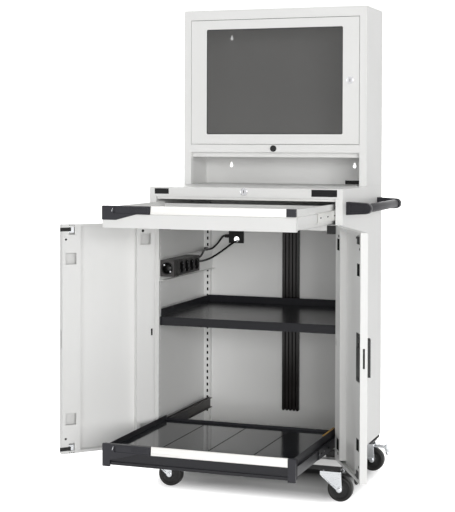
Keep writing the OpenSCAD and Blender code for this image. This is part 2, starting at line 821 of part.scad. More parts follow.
// Tube swept along a route, square to it at every point
function unit(v) = v / norm(v);
function tangent(p, i) = unit(p[min(i + 1, len(p) - 1)] - p[max(i - 1, 0)]);
function side_of(t) = unit(cross(t, abs(t.z) > 0.9 ? [0, 1, 0] : [0, 0, 1]));
function ring(p, i, r, n, ref) = let (t = tangent(p, i), a = unit(ref - (ref * t) * t),
    b = cross(t, a)) [for (k = [0:n - 1]) p[i] + r * (cos(360 * k / n) * a + sin(360 * k / n) * b)];
function refs(p, i, ref) = i >= len(p) ? [] :
    let (t = tangent(p, i), a = unit(ref - (ref * t) * t)) concat([a], refs(p, i + 1, a));
module swept(p, r, n) {
    frames = refs(p, 0, side_of(tangent(p, 0)));
    points = [for (i = [0:len(p) - 1]) each ring(p, i, r, n, frames[i])];
    last = (len(p) - 1) * n;
    walls = [for (i = [0:len(p) - 2], k = [0:n - 1]) each [
        [i * n + k, i * n + (k + 1) % n, (i + 1) * n + k],
        [i * n + (k + 1) % n, (i + 1) * n + (k + 1) % n, (i + 1) * n + k]
    ]];
    caps = [for (k = [1:n - 2]) each [[0, k + 1, k], [last, last + k, last + k + 1]]];
    polyhedron(points, concat(walls, caps));
}
function length_of(p, i = 0) = i < len(p) - 1 ? norm(p[i + 1] - p[i]) + length_of(p, i + 1) : 0;
coil_gap = min([for (i = [0:2:len(coil_route) - 1], j = [i + 12:1:len(coil_route) - 1])
    norm(coil_route[i] - coil_route[j])]) - lead_d;
union() {  // lead_coil
    echo("least gap of the coil to itself", coil_gap);
    echo("mains lead length", length_of(lead_route), "coil", length_of(coil_route));
}

module mains_lead() {
    color(black_plastic) swept(lead_route, lead_d / 2, 8);
}

coil_reach = coil_r1 + 2 * lead_d;
coil_flat = 0.5;
module lead_coil() {
    color(black_plastic) difference() {
        swept(coil_route, lead_d / 2, 6);
        block(coil_c.x - coil_reach, coil_c.x + coil_reach, coil_c.y - coil_reach,
            coil_c.y + coil_reach, -lead_d, coil_flat - cut / 2);
    }
}

module mains_plug() {
    r = plug_at.z;
    relief = 16;
    body_l = 30;
    pin_l = 19;
    color(black_plastic) translate(plug_at) {
        rotate([0, 90, 0]) cylinder(r1 = lead_d / 2 + 0.8, r2 = 9, h = relief);
        translate([relief, 0, 0]) rotate([0, 90, 0]) cylinder(r = r, h = body_l);
    }
    color(chrome) for (s = [-9.5, 9.5])
        translate(plug_at + [relief + body_l, s, 0]) rotate([0, 90, 0])
            cylinder(r = 2.4, h = pin_l);
}

module link_lead() {
    color(black_plastic) swept(link_route, lead_d / 2, 8);
}

// Push handle on the right side

module handle_brackets() {
    end_r = bracket_h / 2 - 3.5;
    pocket = 3;
    for (s = [-1, 1]) {
        y0 = s < 0 ? -handle_y : handle_y - bracket_t;
        color(cap_grey) difference() {
            union() {
                along_y(y0, y0 + bracket_t) translate([half_w, handle_z]) polygon([
                    [0, -bracket_h / 2], [tube_out, -end_r], [tube_out, end_r],
                    [0, bracket_h / 2]
                ]);
                rod_y(half_w + tube_out, y0, y0 + bracket_t, handle_z, end_r);
            }
            // Shallow recess in the outer face
            face_y = s < 0 ? y0 - cut : y0 + bracket_t - pocket;
            block(half_w + 12, half_w + tube_out, face_y, face_y + pocket + cut,
                handle_z - end_r + 5, handle_z + end_r - 5);
            // Socket for the tube
            seat_y = s < 0 ? y0 + bracket_t / 2 : y0 - cut;
            rod_y(half_w + tube_out, seat_y, seat_y + bracket_t / 2 + cut, handle_z,
                tube_d / 2 + 0.05);
        }
    }
}

module handle_tube() {
    wall = 2;
    y1 = handle_y - bracket_t / 2 - 0.2;
    color(cap_grey) difference() {
        rod_y(half_w + tube_out, -y1, y1, handle_z, tube_d / 2);
        rod_y(half_w + tube_out, -y1 - cut, y1 + cut, handle_z, tube_d / 2 - wall);
    }
}

// Runners. Each member is drawn for the right-hand side of a drawer.

member_t = 1.8;
function runner_x() = open_half;
// A channel with its web at x1 and its flanges towards the drawer
module channel(x0, x1, y0, y1, z, h) {
    block(x1 - member_t, x1, y0, y1, z - h / 2, z + h / 2);
    block(x0, x1, y0, y1, z + h / 2 - member_t, z + h / 2);
    block(x0, x1, y0, y1, z - h / 2, z - h / 2 + member_t);
}

kb_runner_z = kb_z + 28;
po_runner_z = po_z + 27;
kb_runner_y = front_y + front_t + 2;
po_runner_y = front_y + po_back + front_t + 2;
middle_h = runner_h - 2 * member_t - 0.8;
middle_x1 = open_half - member_t - 0.6;
middle_x0 = tray_half + 2.2;
inner_h = middle_h - 2 * member_t - 0.8;

module fixed_runners() {
    color(zinc) both_sides() {
        channel(tray_half + 3.5, open_half, kb_runner_y, kb_runner_y + runner_l, kb_runner_z,
            runner_h);
        channel(tray_half + 3.5, open_half, po_runner_y, po_runner_y + runner_l, po_runner_z,
            runner_h);
        // Carrier plate from the front stile to the rear upright
        block(open_half, open_half + sheet, recess_y + flange_d, upright_y,
            po_runner_z - runner_h / 2 - 4, po_runner_z + runner_h / 2 + 4);
    }
}

module middle_member(y, z, out) {
    color(zinc) both_sides() channel(middle_x0, middle_x1, y - out / 2, y - out / 2 + runner_l, z,
        middle_h);
}

// The inner member is fixed to the tray wall and runs inside the middle one
module inner_member(y, z, out) {
    both_sides() block(tray_half - sheet, middle_x1 - member_t - 1.5, y - out, y - out + runner_l,
        z - inner_h / 2, z + inner_h / 2);
}

// Drawers

module tray(y0, depth, z0, floor, side_top, back_top) {
    both_sides() block(tray_half - sheet, tray_half, y0, y0 + depth, z0, side_top);
    block(-tray_half, tray_half, y0, y0 + depth, floor - sheet, floor);
    block(-tray_half, tray_half, y0 + depth - sheet, y0 + depth, z0, back_top);
}

// Folded front sheet behind the caps and the handle strip
module front_panel(y, z, h) {
    x = front_half - 1;
    block(-x, x, y + grip_t, y + grip_t + sheet, z, z + h);
    block(-x, x, y + grip_t, y + front_t, z, z + sheet);
    block(-x, x, y + grip_t, y + front_t, z + h - sheet, z + h);
    block(-x, x, y + front_t - sheet, y + front_t, z, z + h);
}

// Aluminium strip with a slightly sloped face
module handle_strip(y, x0, x1, z0, z1) {
    along_x(x0, x1) polygon([
        [y + grip_t, z0], [y + 1.5, z0], [y, z0 + 2], [y + 2, z1 - 2], [y + 3.5, z1],
        [y + grip_t, z1]
    ]);
}

// Outline of a latch cap, which drops to the left post and rises to the strip
module latch_outline(z1, drop, heel, grow) {
    foot = z1 - strip_h - grow;
    polygon([
        [latch_x0 - grow, z1 - drop - grow], [latch_x0 + heel, z1 - drop - grow],
        [latch_x1 - 42, foot + 2], [latch_x1 - 2, foot + 1], [latch_x1 + 1 + grow, z1],
        [latch_x0 - grow, z1]
    ]);
}

module latch_cap(y, z1, drop, heel) {
    difference() {
        along_y(y - 1, y + grip_t) latch_outline(z1, drop, heel, 0);
        latch_pocket(y, z1);
    }
}
latch_z_in = 3;
latch_d = 4;
latch_end = 6;
module latch_pocket(y, z1) {
    block(latch_x0 + 38, latch_x1 - latch_end, y - 1 - cut, y - 1 + latch_d,
        z1 - strip_h + latch_z_in + 1, z1 - latch_z_in);
}
module latch_slider(y, z1) {
    block(latch_x0 + 38 + latch_play, latch_x1 - latch_end - seat_clear, y - 0.6,
        y - 1 + latch_d - seat_clear, z1 - strip_h + latch_z_in + 1 + seat_clear,
        z1 - latch_z_in - seat_clear);
}

kb_drop = 42;
kb_heel = 45;
module keyboard_tray() {
    y0 = kb_front + front_t;
    z1 = kb_z + kb_h;
    color(body_grey) {
        tray(y0, kb_d, kb_z + 2, kb_z + 7.5, z1 - 4, z1 - 11);
        front_panel(kb_front, kb_z, kb_h - 1);
        // Lower face, cut away under the latch cap
        difference() {
            block(-front_half + 1, front_half - 1, kb_front + 2, kb_front + grip_t, kb_z,
                z1 - strip_h);
            block(-front_half, front_half, kb_front + 2 + sheet, kb_front + grip_t, kb_z + sheet,
                z1 - strip_h - sheet);
            along_y(kb_front, kb_front + grip_t) latch_outline(z1, kb_drop, kb_heel, seat_clear);
        }
        inner_member(kb_runner_y, kb_runner_z, kb_out);
    }
}

module keyboard_strip() {
    color(aluminium) handle_strip(kb_front, latch_x1 + 2, front_half - cap_w - 5,
        kb_z + kb_h - strip_h + 2, kb_z + kb_h);
}

module keyboard_caps() {
    z1 = kb_z + kb_h;
    color(cap_grey) {
        latch_cap(kb_front, z1, kb_drop, kb_heel);
        block(front_half - cap_w - 5, front_half, kb_front - 1, kb_front + grip_t,
            z1 - strip_h + 3, z1);
    }
}

module keyboard_latch() {
    color(cap_grey) latch_slider(kb_front, kb_z + kb_h);
}

module keyboard_middle() {
    middle_member(kb_runner_y, kb_runner_z, kb_out);
}

mat_z = po_z + 46;
module pullout_tray() {
    y0 = po_front + front_t;
    color(anthracite) {
        tray(y0, po_d, po_z + 5, mat_z, po_z + po_h - 3, po_z + po_h - 12);
        front_panel(po_front, po_z + 5, po_h - 7);
        block(-front_half + cap_w + 3, front_half - cap_w, po_front + 2, po_front + grip_t,
            po_z + 5, po_z + 14);
        inner_member(po_runner_y, po_runner_z, po_out);
    }
}

module pullout_mat() {
    pieces = 4;
    seam = 0.8;
    w = 2 * (tray_half - sheet - seat_clear);
    each_w = (w - (pieces - 1) * seam) / pieces;
    y0 = po_front + front_t + seat_clear;
    color(anthracite) for (i = [0:pieces - 1]) {
        x = -w / 2 + i * (each_w + seam);
        block(x, x + each_w, y0, y0 + po_d - sheet - 2 * seat_clear, mat_z, mat_z + mat_t);
    }
}

module pullout_strip() {
    color(aluminium) handle_strip(po_front, latch_x1 + 2, front_half - cap_w,
        po_z + po_h - strip_h, po_z + po_h);
}

module pullout_caps() {
    z1 = po_z + po_h;
    color(cap_grey) {
        latch_cap(po_front, z1 - 1, 47, 28);
        block(-front_half, -front_half + cap_w, po_front - 1, po_front + grip_t, po_z, z1);
        block(front_half - cap_w, front_half, po_front - 1, po_front + grip_t, po_z, z1);
    }
}

module pullout_latch() {
    color(cap_grey) latch_slider(po_front, po_z + po_h - 1);
}

module pullout_middle() {
    middle_member(po_runner_y, po_runner_z, po_out);
}

// Lower doors. A leaf is drawn closed, with its hinge axis at the origin and its free edge
// towards +X, and is hung on the left. The right leaf is the mirror image.

module hang_left(angle) {
    translate([-pivot_x, pivot_y, 0]) rotate([0, 0, -angle]) children();
}

module hang_right(angle) {
    mirror([1, 0, 0]) hang_left(angle) children();
}

module door_skin() {
    difference() {
        block(leaf_x0, leaf_x1, leaf_y0, leaf_y1, leaf_z0, leaf_z1);
        block(leaf_x0 + door_sheet, leaf_x1 - door_sheet, leaf_y0 + door_sheet,
            leaf_y1 - door_sheet, leaf_z0 + door_sheet, leaf_z1 - door_sheet);
        block(leaf_x0 + door_sheet, leaf_x1 - door_sheet, leaf_y0 + door_sheet, leaf_y1 + cut,
            leaf_z0 + door_lip, leaf_z1 - door_lip);
        translate([0, 0, leaf_z0 - cut]) cylinder(r = pin_r + pin_clear, h = door_sheet + 2 * cut);
        translate([0, 0, leaf_z1 - door_sheet - cut])
            cylinder(r = pin_r + pin_clear, h = door_sheet + 2 * cut);
    }
}

// Slot in the free edge where the latch bolt passes
module edge_slot() {
    block(leaf_x1 - door_sheet - cut, leaf_x1 + cut, rod_y - 3, rod_y + 3, leaf_mid - 29,
        leaf_mid + 29);
}

module column_frame() {
    y0 = leaf_y0 + door_sheet;
    y1 = leaf_y1;
    free_x = leaf_x1 - free_col;
    hinge_x = leaf_x0 + hinge_col;
    z0 = leaf_z0 + door_lip;
    z1 = leaf_z1 - door_lip;
    difference() {
        union() {
            block(free_x, leaf_x1 - door_sheet, y1 - door_sheet, y1, z0, z1);
            block(free_x, free_x + door_sheet, y0, y1, z0, z1);
            block(leaf_x0 + door_sheet, hinge_x, y1 - door_sheet, y1, z0, z1);
            block(hinge_x - door_sheet, hinge_x, y0, y1, z0, z1);
        }
        for (s = [-1, 1]) {
            // Square windows near the corners
            z = leaf_mid + s * (leaf_w * 0.79) - service / 2;
            block(service_x, service_x + service, y1 - door_sheet - cut, y1 + cut, z, z + service);
            hz = leaf_mid + s * (leaf_w * 0.96) - service / 2;
            block(leaf_x0 + 16, leaf_x0 + 16 + service, y1 - door_sheet - cut, y1 + cut, hz,
                hz + service);
            // Cut-outs at the ends of the free column
            cz = s > 0 ? z1 - 24 : z0 - cut;
            block(leaf_x1 - 42, leaf_x1 - 22, y1 - door_sheet - cut, y1 + cut, cz, cz + 24 + cut);
            // Small fixing holes
            rod_y(leaf_x1 - 12, y1 - door_sheet - cut, y1 + cut, leaf_mid + s * leaf_w * 0.98, 3);
        }
        block(leaf_x0 + 8, leaf_x0 + 14, y1 - door_sheet - cut, y1 + cut, leaf_mid - 6,
            leaf_mid + 16);
    }
}

module left_door_skin() {
    color(body_grey) hang_left(left_open) difference() {
        door_skin();
        edge_slot();
    }
}

module left_door_frame() {
    color(body_grey) hang_left(left_open) column_frame();
}

module left_door_hooks() {
    x0 = leaf_x1 + hook_reach - hook_l;
    color(black_plastic) hang_left(left_open) for (s = [-1, 1]) {
        z = s > 0 ? leaf_z1 - door_lip - hook_h - 1 : leaf_z0 + door_lip + 1;
        block(x0, leaf_x1 + hook_reach, leaf_y1, leaf_y1 + hook_t, z, z + hook_h);
        block(x0, x0 + hook_tab, leaf_y1 - hook_drop, leaf_y1 + hook_t, z, z + hook_h);
    }
}

module right_door_skin() {
    color(body_grey) hang_right(right_open) difference() {
        door_skin();
        edge_slot();
        rod_y(rod_x, leaf_y0 - cut, leaf_y0 + door_sheet + cut, spindle_z, spindle_r + pin_clear);
        for (z = [leaf_z0 - cut, leaf_z1 - door_sheet - cut])
            block(rod_x - rod_w / 2 - 1, rod_x + rod_w / 2 + 1, rod_y - rod_t / 2 - 1,
                rod_y + rod_t / 2 + 1, z, z + door_sheet + 2 * cut);
    }
}

module right_door_frame() {
    color(body_grey) hang_right(right_open) difference() {
        column_frame();
        block(case_x0 - 1, case_x1 + 1, leaf_y1 - door_sheet - cut, leaf_y1 + cut,
            leaf_mid - case_h / 2 - 1, leaf_mid + case_h / 2 + 1);
    }
}

module lock_case() {
    color(black_plastic) hang_right(right_open) difference() {
        block(case_x0, case_x1, leaf_y0 + door_sheet, leaf_y1 - case_sink,
            leaf_mid - case_h / 2, leaf_mid + case_h / 2);
        rod_y(rod_x, leaf_y0, leaf_y0 + spindle_l + 1, spindle_z, spindle_r + pin_clear);
    }
    // Guides of the latch rods
    rod_gap = 0.4;
    color(black_plastic) hang_right(right_open)
        for (z = [leaf_z0 + guide_in, leaf_z1 - guide_in - guide_h]) difference() {
            block(rod_x - rod_w / 2 - guide_side, rod_x + rod_w / 2 + guide_edge,
                leaf_y0 + door_sheet, leaf_y1 - guide_sink, z, z + guide_h);
            block(rod_x - rod_w / 2 - rod_gap, rod_x + rod_w / 2 + rod_gap,
                rod_y - rod_t / 2 - rod_gap, rod_y + rod_t / 2 + rod_gap, z - cut,
                z + guide_h + cut);
        }
}

module door_handle() {
    boss = 9;
    lever_t = 7;
    lever_w = 18;
    out = leaf_y0 - seat_clear;
    color(black_plastic) hang_right(right_open) {
        rod_y(rod_x, out, leaf_y0 + spindle_l, spindle_z, spindle_r);
        rod_y(rod_x, out - 5, out, spindle_z, boss);
        along_y(out - 5 - lever_t, out - 4) translate([rod_x, spindle_z]) union() {
            translate([-lever_w / 2, 20 - lever_l]) square([lever_w, lever_l - lever_w / 2]);
            translate([0, 20 - lever_w / 2]) circle(r = lever_w / 2);
        }
    }
}

module latch_rod(z0, z1) {
    block(rod_x - rod_w / 2, rod_x + rod_w / 2, rod_y - rod_t / 2, rod_y + rod_t / 2, z0, z1);
}

module rod_top() {
    color(zinc) hang_right(right_open)
        latch_rod(leaf_mid + case_h / 2 + seat_clear, leaf_z1 - door_sheet / 2);
}

module rod_bottom() {
    color(zinc) hang_right(right_open)
        latch_rod(leaf_z0 + door_sheet / 2, leaf_mid - case_h / 2 - seat_clear);
}

// Monitor door

module rounded_rect(w, h, r) {
    square([w - 2 * r, h], center = true);
    square([w, h - 2 * r], center = true);
    for (x = [-1, 1], y = [-1, 1]) translate([x * (w / 2 - r), y * (h / 2 - r)]) circle(r = r);
}

module monitor_door_frame() {
    y0 = housing_y;
    color(body_grey) difference() {
        block(-mdoor_half, mdoor_half, y0, y0 + mdoor_t, mdoor_z0, mdoor_z1);
        block(-mdoor_half + door_sheet, mdoor_half - door_sheet, y0 + door_sheet,
            y0 + mdoor_t + cut, mdoor_z0 + door_sheet, mdoor_z1 - door_sheet);
        along_y(y0 - cut, y0 + door_sheet + cut) translate([0, window_z])
            rounded_rect(window_w, window_h, window_r);
        rod_y(mlock_x, y0 - cut, y0 + door_sheet + cut, mlock_z, lock_r + pin_clear);
        translate([mpin_in - mdoor_half, y0 + mpin_in, mdoor_z0 - cut])
            cylinder(r = mpin_r + pin_clear, h = mdoor_z1 - mdoor_z0 + 2 * cut);
    }
}

module monitor_glass() {
    y0 = housing_y + door_sheet;
    color([0.35, 0.36, 0.34, 0.6]) along_y(y0, y0 + glass_t) translate([0, window_z])
        square([window_w + 2 * glass_lap, window_h + 2 * glass_lap], center = true);
}

module monitor_lock() {
    y0 = housing_y;
    cam_y = stop_y + sheet + seat_clear;
    color(chrome) difference() {
        union() {
            rod_y(mlock_x, y0 - 2.3, y0 - seat_clear, mlock_z, lock_r + 1);
            rod_y(mlock_x, y0 - 2, cam_y, mlock_z, lock_r);
        }
        block(mlock_x - 1, mlock_x + 1, y0 - 4, y0 - 0.8, mlock_z - 5, mlock_z + 5);
    }
    color(zinc) block(mlock_x - 7, mlock_x + 7, cam_y, cam_y + 2, mlock_z - 8,
        mlock_z + mlock_in + stop_w / 2 - 3);
}

// Castors

module castor_mounts() {
    wall = 3;
    plate = [78, 2 * castor_front_in - 4];
    rear_room = 60;
    for (k = [[king_front, front_y + 2, king_front + plate.y / 2],
            [king_rear, king_rear - rear_room, back_y - 7]]) {
        color(black_plastic) difference() {
            block(-half_w + 3, half_w - 3, k[1], k[2], rail_z, underside_z);
            block(-half_w, half_w, k[1] + wall, k[2] - wall, rail_z + wall, underside_z + cut);
        }
        for (x = [-king_x, king_x]) color(zinc) {
            block(x - plate.x / 2, x + plate.x / 2 - 4, k[0] - plate.y / 2, k[0] + plate.y / 2,
                castor_z, rail_z);
            translate([x, k[0], castor_z - race_h]) cylinder(r = 22, h = race_h);
            translate([x, k[0], crown_z + seat_clear])
                cylinder(r = king_r, h = castor_z - crown_z - seat_clear);
        }
    }
}

// A fork with its axle, drawn with the swivel axis at the origin and the wheel towards +X
module fork() {
    crown_x0 = -34;
    crown_x1 = trail - 4;
    eye_r = 9;
    difference() {
        union() {
            block(crown_x0, crown_x1, -leg_y - leg_t, leg_y + leg_t, crown_z, crown_z + crown_t);
            translate([0, 0, crown_z]) cylinder(r = 20, h = fork_top - crown_z);
            for (s = [-1, 1])
                along_y(s > 0 ? leg_y : -leg_y - leg_t, s > 0 ? leg_y + leg_t : -leg_y) union() {
                    polygon([
                        [crown_x0, crown_z], [trail - eye_r * 0.9, wheel_r - 3],
                        [trail + eye_r, wheel_r], [trail + pedal_x + 3, fork_top],
                        [crown_x0, fork_top]
                    ]);
                    translate([trail, wheel_r]) circle(r = eye_r);
                }
            rod_y(trail, -leg_y - leg_t - 4, leg_y + leg_t + 4, wheel_r, axle_r);
            rod_y(trail, -leg_y - leg_t - 4, -leg_y - leg_t, wheel_r, axle_r + 3);
            rod_y(trail, leg_y + leg_t, leg_y + leg_t + 4, wheel_r, axle_r + 3);
            rod_y(trail + pedal_x, -leg_y - leg_t, leg_y + leg_t, wheel_r + pedal_z, 2.5);
        }
        translate([0, 0, crown_z - cut])
            cylinder(r = king_r + pin_clear, h = fork_top - crown_z + 2 * cut);
    }
}

module wheel() {
    r = wheel_r;
    w = wheel_w / 2;
    bore = axle_r + pin_clear;
    translate([trail, 0, wheel_r]) rotate([90, 0, 0]) rotate_extrude() polygon([
        [bore, -w - 1.5], [bore + 6, -w - 1.5], [bore + 6, -w + 3], [r * 0.72, -w + 3],
        [r * 0.78, -w], [r - 3, -w], [r - 0.7, -w + 3], [r, -w + 7], [r, w - 7],
        [r - 0.7, w - 3], [r - 3, w], [r * 0.78, w], [r * 0.72, w - 3], [bore + 6, w - 3],
        [bore + 6, w + 1.5], [bore, w + 1.5]
    ]);
}

// The pedal hangs on its own pin behind the crown and reaches over the wheel
module brake_pedal() {
    sleeve = 4.6;
    w = leg_y - 1;
    difference() {
        along_y(-w, w) translate([trail, wheel_r]) union() {
            translate([pedal_x, pedal_z]) circle(r = sleeve);
            polygon([
                [pedal_x, pedal_z - 4.4], [pedal_x + 35, pedal_z - 4.8],
                [pedal_x + 41, pedal_z - 9], [pedal_x + 48, pedal_z - 27],
                [pedal_x + 54, pedal_z - 26], [pedal_x + 48, pedal_z - 6],
                [pedal_x + 46.5, pedal_z + 8], [pedal_x + 43, pedal_z + 8],
                [pedal_x + 41, pedal_z + 2.4], [pedal_x, pedal_z + 4.4]
            ]);
        }
        rod_y(trail + pedal_x, -w - cut, w + cut, wheel_r + pedal_z, 2.5 + pin_clear);
    }
}

module at_castor(x, y) {
    translate([x * king_x, y < 0 ? king_front : king_rear, 0]) children();
}

side_panels();
back_panel();
floor_pan();
worktop();
front_rails();
rear_uprights();
housing_shell();
housing_back();
crossbar();
cable_fittings();
label_plates();
fascia_lock();
hinge_blocks();
hinge_pins();
cable_duct();
power_bracket();
power_strip();
mains_lead();
lead_coil();
mains_plug();
link_lead();
shelf();
shelf_clips();
handle_brackets();
handle_tube();
fixed_runners();
castor_mounts();
color(zinc) at_castor(-1, -1) fork();  // fork_front_left
color(zinc) at_castor(1, -1) fork();  // fork_front_right
color(zinc) at_castor(-1, 1) fork();  // fork_rear_left
color(zinc) at_castor(1, 1) fork();  // fork_rear_right
color(black_plastic) at_castor(-1, -1) wheel();  // wheel_front_left
color(black_plastic) at_castor(1, -1) wheel();  // wheel_front_right
color(black_plastic) at_castor(-1, 1) wheel();  // wheel_rear_left
color(black_plastic) at_castor(1, 1) wheel();  // wheel_rear_right
color(zinc) at_castor(1, -1) brake_pedal();  // brake_front_right
color(zinc) at_castor(1, 1) brake_pedal();  // brake_rear_right
keyboard_tray();
keyboard_strip();
keyboard_caps();
keyboard_latch();
keyboard_middle();
pullout_tray();
pullout_strip();
pullout_caps();
pullout_latch();
pullout_middle();
pullout_mat();
left_door_skin();
left_door_frame();
left_door_hooks();
right_door_skin();
right_door_frame();
lock_case();
door_handle();
rod_top();
rod_bottom();
monitor_door_frame();
monitor_glass();
monitor_lock();
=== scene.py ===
import math

import bpy
import numpy as np
from mathutils import Matrix, Vector


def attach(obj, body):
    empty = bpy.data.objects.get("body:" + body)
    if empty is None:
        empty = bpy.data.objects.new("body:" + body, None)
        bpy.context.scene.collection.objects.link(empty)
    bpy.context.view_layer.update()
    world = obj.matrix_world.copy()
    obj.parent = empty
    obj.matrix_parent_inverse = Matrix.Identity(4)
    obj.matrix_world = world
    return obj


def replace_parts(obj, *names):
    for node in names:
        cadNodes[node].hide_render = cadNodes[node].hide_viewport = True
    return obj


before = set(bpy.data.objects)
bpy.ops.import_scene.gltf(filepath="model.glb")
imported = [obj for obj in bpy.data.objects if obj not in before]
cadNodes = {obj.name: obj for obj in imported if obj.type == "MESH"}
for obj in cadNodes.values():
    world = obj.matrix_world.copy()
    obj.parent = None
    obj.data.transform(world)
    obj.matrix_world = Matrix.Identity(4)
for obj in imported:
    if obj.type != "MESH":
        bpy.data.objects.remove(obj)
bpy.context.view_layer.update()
mm = 0.001
shift = Matrix.Translation
print("frame loaded:", len(cadNodes), "nodes")


# Camera at the photograph's viewpoint

cameraValues = {
    "place": (1.4074, -4.3326, 1.1193),
    "yaw": 0.345,          # turned to the left of straight ahead, in radians
    "pitch": 0.016,        # looking slightly down
    "roll": 0.003,
    "sensor": 36,          # height in mm
    "lens": 95.1,
    "shiftY": -0.1764,
    "clip": 60,
}


def addCamera(v):
    # Ahead and right from yaw and pitch, up square to both, then right and up turned by the roll
    yaw, pitch, roll = v["yaw"], v["pitch"], v["roll"]
    ahead = Vector((-math.sin(yaw) * math.cos(pitch), math.cos(yaw) * math.cos(pitch), -math.sin(pitch)))
    right = Vector((math.cos(yaw), math.sin(yaw), 0))
    up = right.cross(ahead)
    right, up = right * math.cos(roll) + up * math.sin(roll), up * math.cos(roll) - right * math.sin(roll)
    data = bpy.data.cameras.new("camera")
    data.sensor_fit = "VERTICAL"
    data.sensor_height = v["sensor"]
    data.lens = v["lens"]
    data.shift_y = v["shiftY"]
    data.clip_end = v["clip"]
    camera = bpy.data.objects.new("camera", data)
    bpy.context.scene.collection.objects.link(camera)
    axes = Matrix((right, up, -ahead)).transposed().to_4x4()
    camera.matrix_world = shift(Vector(v["place"])) @ axes
    bpy.context.scene.camera = camera


addCamera(cameraValues)
bpy.context.scene.view_settings.view_transform = "Standard"


# Shader maths as Python expressions


class Wire:
    # One output of a node
    def __init__(self, sheet, socket):
        self.sheet, self.socket = sheet, socket

    def math(self, operation, a, b=None):
        return self.sheet.node("ShaderNodeMath", {"operation": operation}, {0: a, 1: b})[0]


# Python's operators and a few methods of its own, each with its maths node
wireMethods = {
    "__add__": "ADD", "__sub__": "SUBTRACT", "__mul__": "MULTIPLY", "__truediv__": "DIVIDE",
    "above": "GREATER_THAN", "below": "LESS_THAN", "least": "MINIMUM", "most": "MAXIMUM", "size": "ABSOLUTE",
}
for method, operation in wireMethods.items():
    setattr(Wire, method, lambda self, other=None, kind=operation: self.math(kind, self, other))
Wire.__radd__ = lambda self, other: self.math("ADD", other, self)
Wire.__rsub__ = lambda self, other: self.math("SUBTRACT", other, self)


class Sheet:
    # The node tree of one material, around one Principled shader
    def __init__(self, name, **fixed):
        self.material = bpy.data.materials.new(name)
        self.material.use_nodes = True
        self.tree = self.material.node_tree
        self.shader = next(n for n in self.tree.nodes if n.type == "BSDF_PRINCIPLED")
        self.place = self.node("ShaderNodeTexCoord")[3]      # object coordinates
        self.set(**fixed)

    def put(self, socket, value):
        # A wire is linked to the socket, a plain value is set there, a colour with full alpha
        if isinstance(value, Wire):
            self.tree.links.new(value.socket, socket)
        elif value is not None:
            socket.default_value = (*value, 1) if socket.type == "RGBA" else value

    def node(self, kind, settings=None, inputs=None):
        made = self.tree.nodes.new(kind)
        for key, value in (settings or {}).items():
            setattr(made, key, value)
        for key, value in (inputs or {}).items():
            self.put(made.inputs[key], value)
        return [Wire(self, s) for s in made.outputs]

    def axes(self):
        return self.node("ShaderNodeSeparateXYZ", None, {0: self.place})

    def stretched(self, scale):
        return self.node("ShaderNodeMapping", None, {0: self.place, 3: scale})[0]

    def noise(self, scale, detail, rough=0.5, vector=None):
        return self.node("ShaderNodeTexNoise", None, {"Vector": vector or self.place, "Scale": scale,
                                                      "Detail": detail, "Roughness": rough})[0]

    def mix(self, share, first, second):
        # Second colour laid over the first by a share
        return self.node("ShaderNodeMix", {"data_type": "RGBA"}, {0: share, 6: first, 7: second})[2]

    def bump(self, height, strength, distance):
        return self.node("ShaderNodeBump", None,
                         {"Height": height, "Strength": strength, "Distance": distance})[0]

    def set(self, **sockets):
        for key, value in sockets.items():
            self.put(self.shader.inputs[key.replace("_", " ")], value)


def linear(red, green, blue):
    # Linear light from display values of 0 to 255: a straight foot, then a power of 2.4
    return tuple(c / 3294.6 if c <= 10 else ((c / 255 + 0.055) / 1.055) ** 2.4 for c in (red, green, blue))


powderValues = {
    "peelScale": 620.0, "peelDepth": 0.00006,
    # name: full name, colour, shade, roughness, specular level
    "coats": {
        "light": ("light grey powder coat", (235, 235, 234), (230, 230, 228), 0.42, 0.5),
        "dark": ("anthracite powder coat", (32, 32, 36), (26, 26, 30), 0.36, 0.3),
        "shelf": ("smooth anthracite coat", (32, 32, 36), (26, 26, 30), 0.24, 0.2),
    },
}


def powderCoat(v, name, colour, shade, rough, shine):
    # A fine orange peel, cloudy gloss and a little settled dust in the large noise
    s = Sheet(name, Specular_IOR_Level=shine)
    peel = s.noise(v["peelScale"], 2.0)
    cloud = s.noise(2.6, 3.0)
    fleck = s.noise(1900.0, 1.0)
    s.set(Base_Color=s.mix((cloud * 1.6 - 0.3) * 0.8 + fleck * 0.2, linear(*colour), linear(*shade)),
          Roughness=rough + (cloud - 0.5) * 0.12 + (fleck - 0.5) * 0.05,
          Normal=s.bump(peel + fleck * 0.3, 0.35, v["peelDepth"]))
    return s.material


matFinish = {"name": "dark smooth mat", "colour": (30, 33, 38), "shade": (25, 28, 33), "rough": 0.07}


def glossMat(v):
    # Smooth sheet with a faint drawn grain and wiped-looking gloss
    s = Sheet(v["name"], Specular_IOR_Level=0.6)
    cloud = s.noise(4.0, 4.0)
    drawn = s.noise(1.0, 2.0, 0.5, s.stretched((900.0, 60.0, 60.0)))
    s.set(Base_Color=s.mix(cloud, linear(*v["colour"]), linear(*v["shade"])),
          Roughness=v["rough"] + cloud * 0.06 + (drawn - 0.5) * 0.02,
          Normal=s.bump(s.noise(800.0, 2.0), 0.06, 0.00001))
    return s.material


metalValues = {
    # name: full name, colour, shade, roughness, metallic share, scale of the grain along each axis
    "zinc": ("bright zinc plate", (214, 216, 219), (186, 188, 190), 0.26, 1.0, (40.0, 40.0, 220.0)),
    "chrome": ("polished chrome", (225, 225, 228), (205, 205, 208), 0.12, 1.0, (60.0, 60.0, 60.0)),
    "strip": ("bright anodised strip", (252, 251, 248), (244, 243, 240), 0.4, 0.25, (6.0, 900.0, 900.0)),
    "runner": ("zinc plated runner", (226, 226, 222), (206, 206, 203), 0.42, 0.45, (60.0, 30.0, 240.0)),
    "brass": ("brass contacts", (214, 186, 110), (190, 160, 90), 0.25, 1.0, (80.0, 80.0, 80.0)),
}


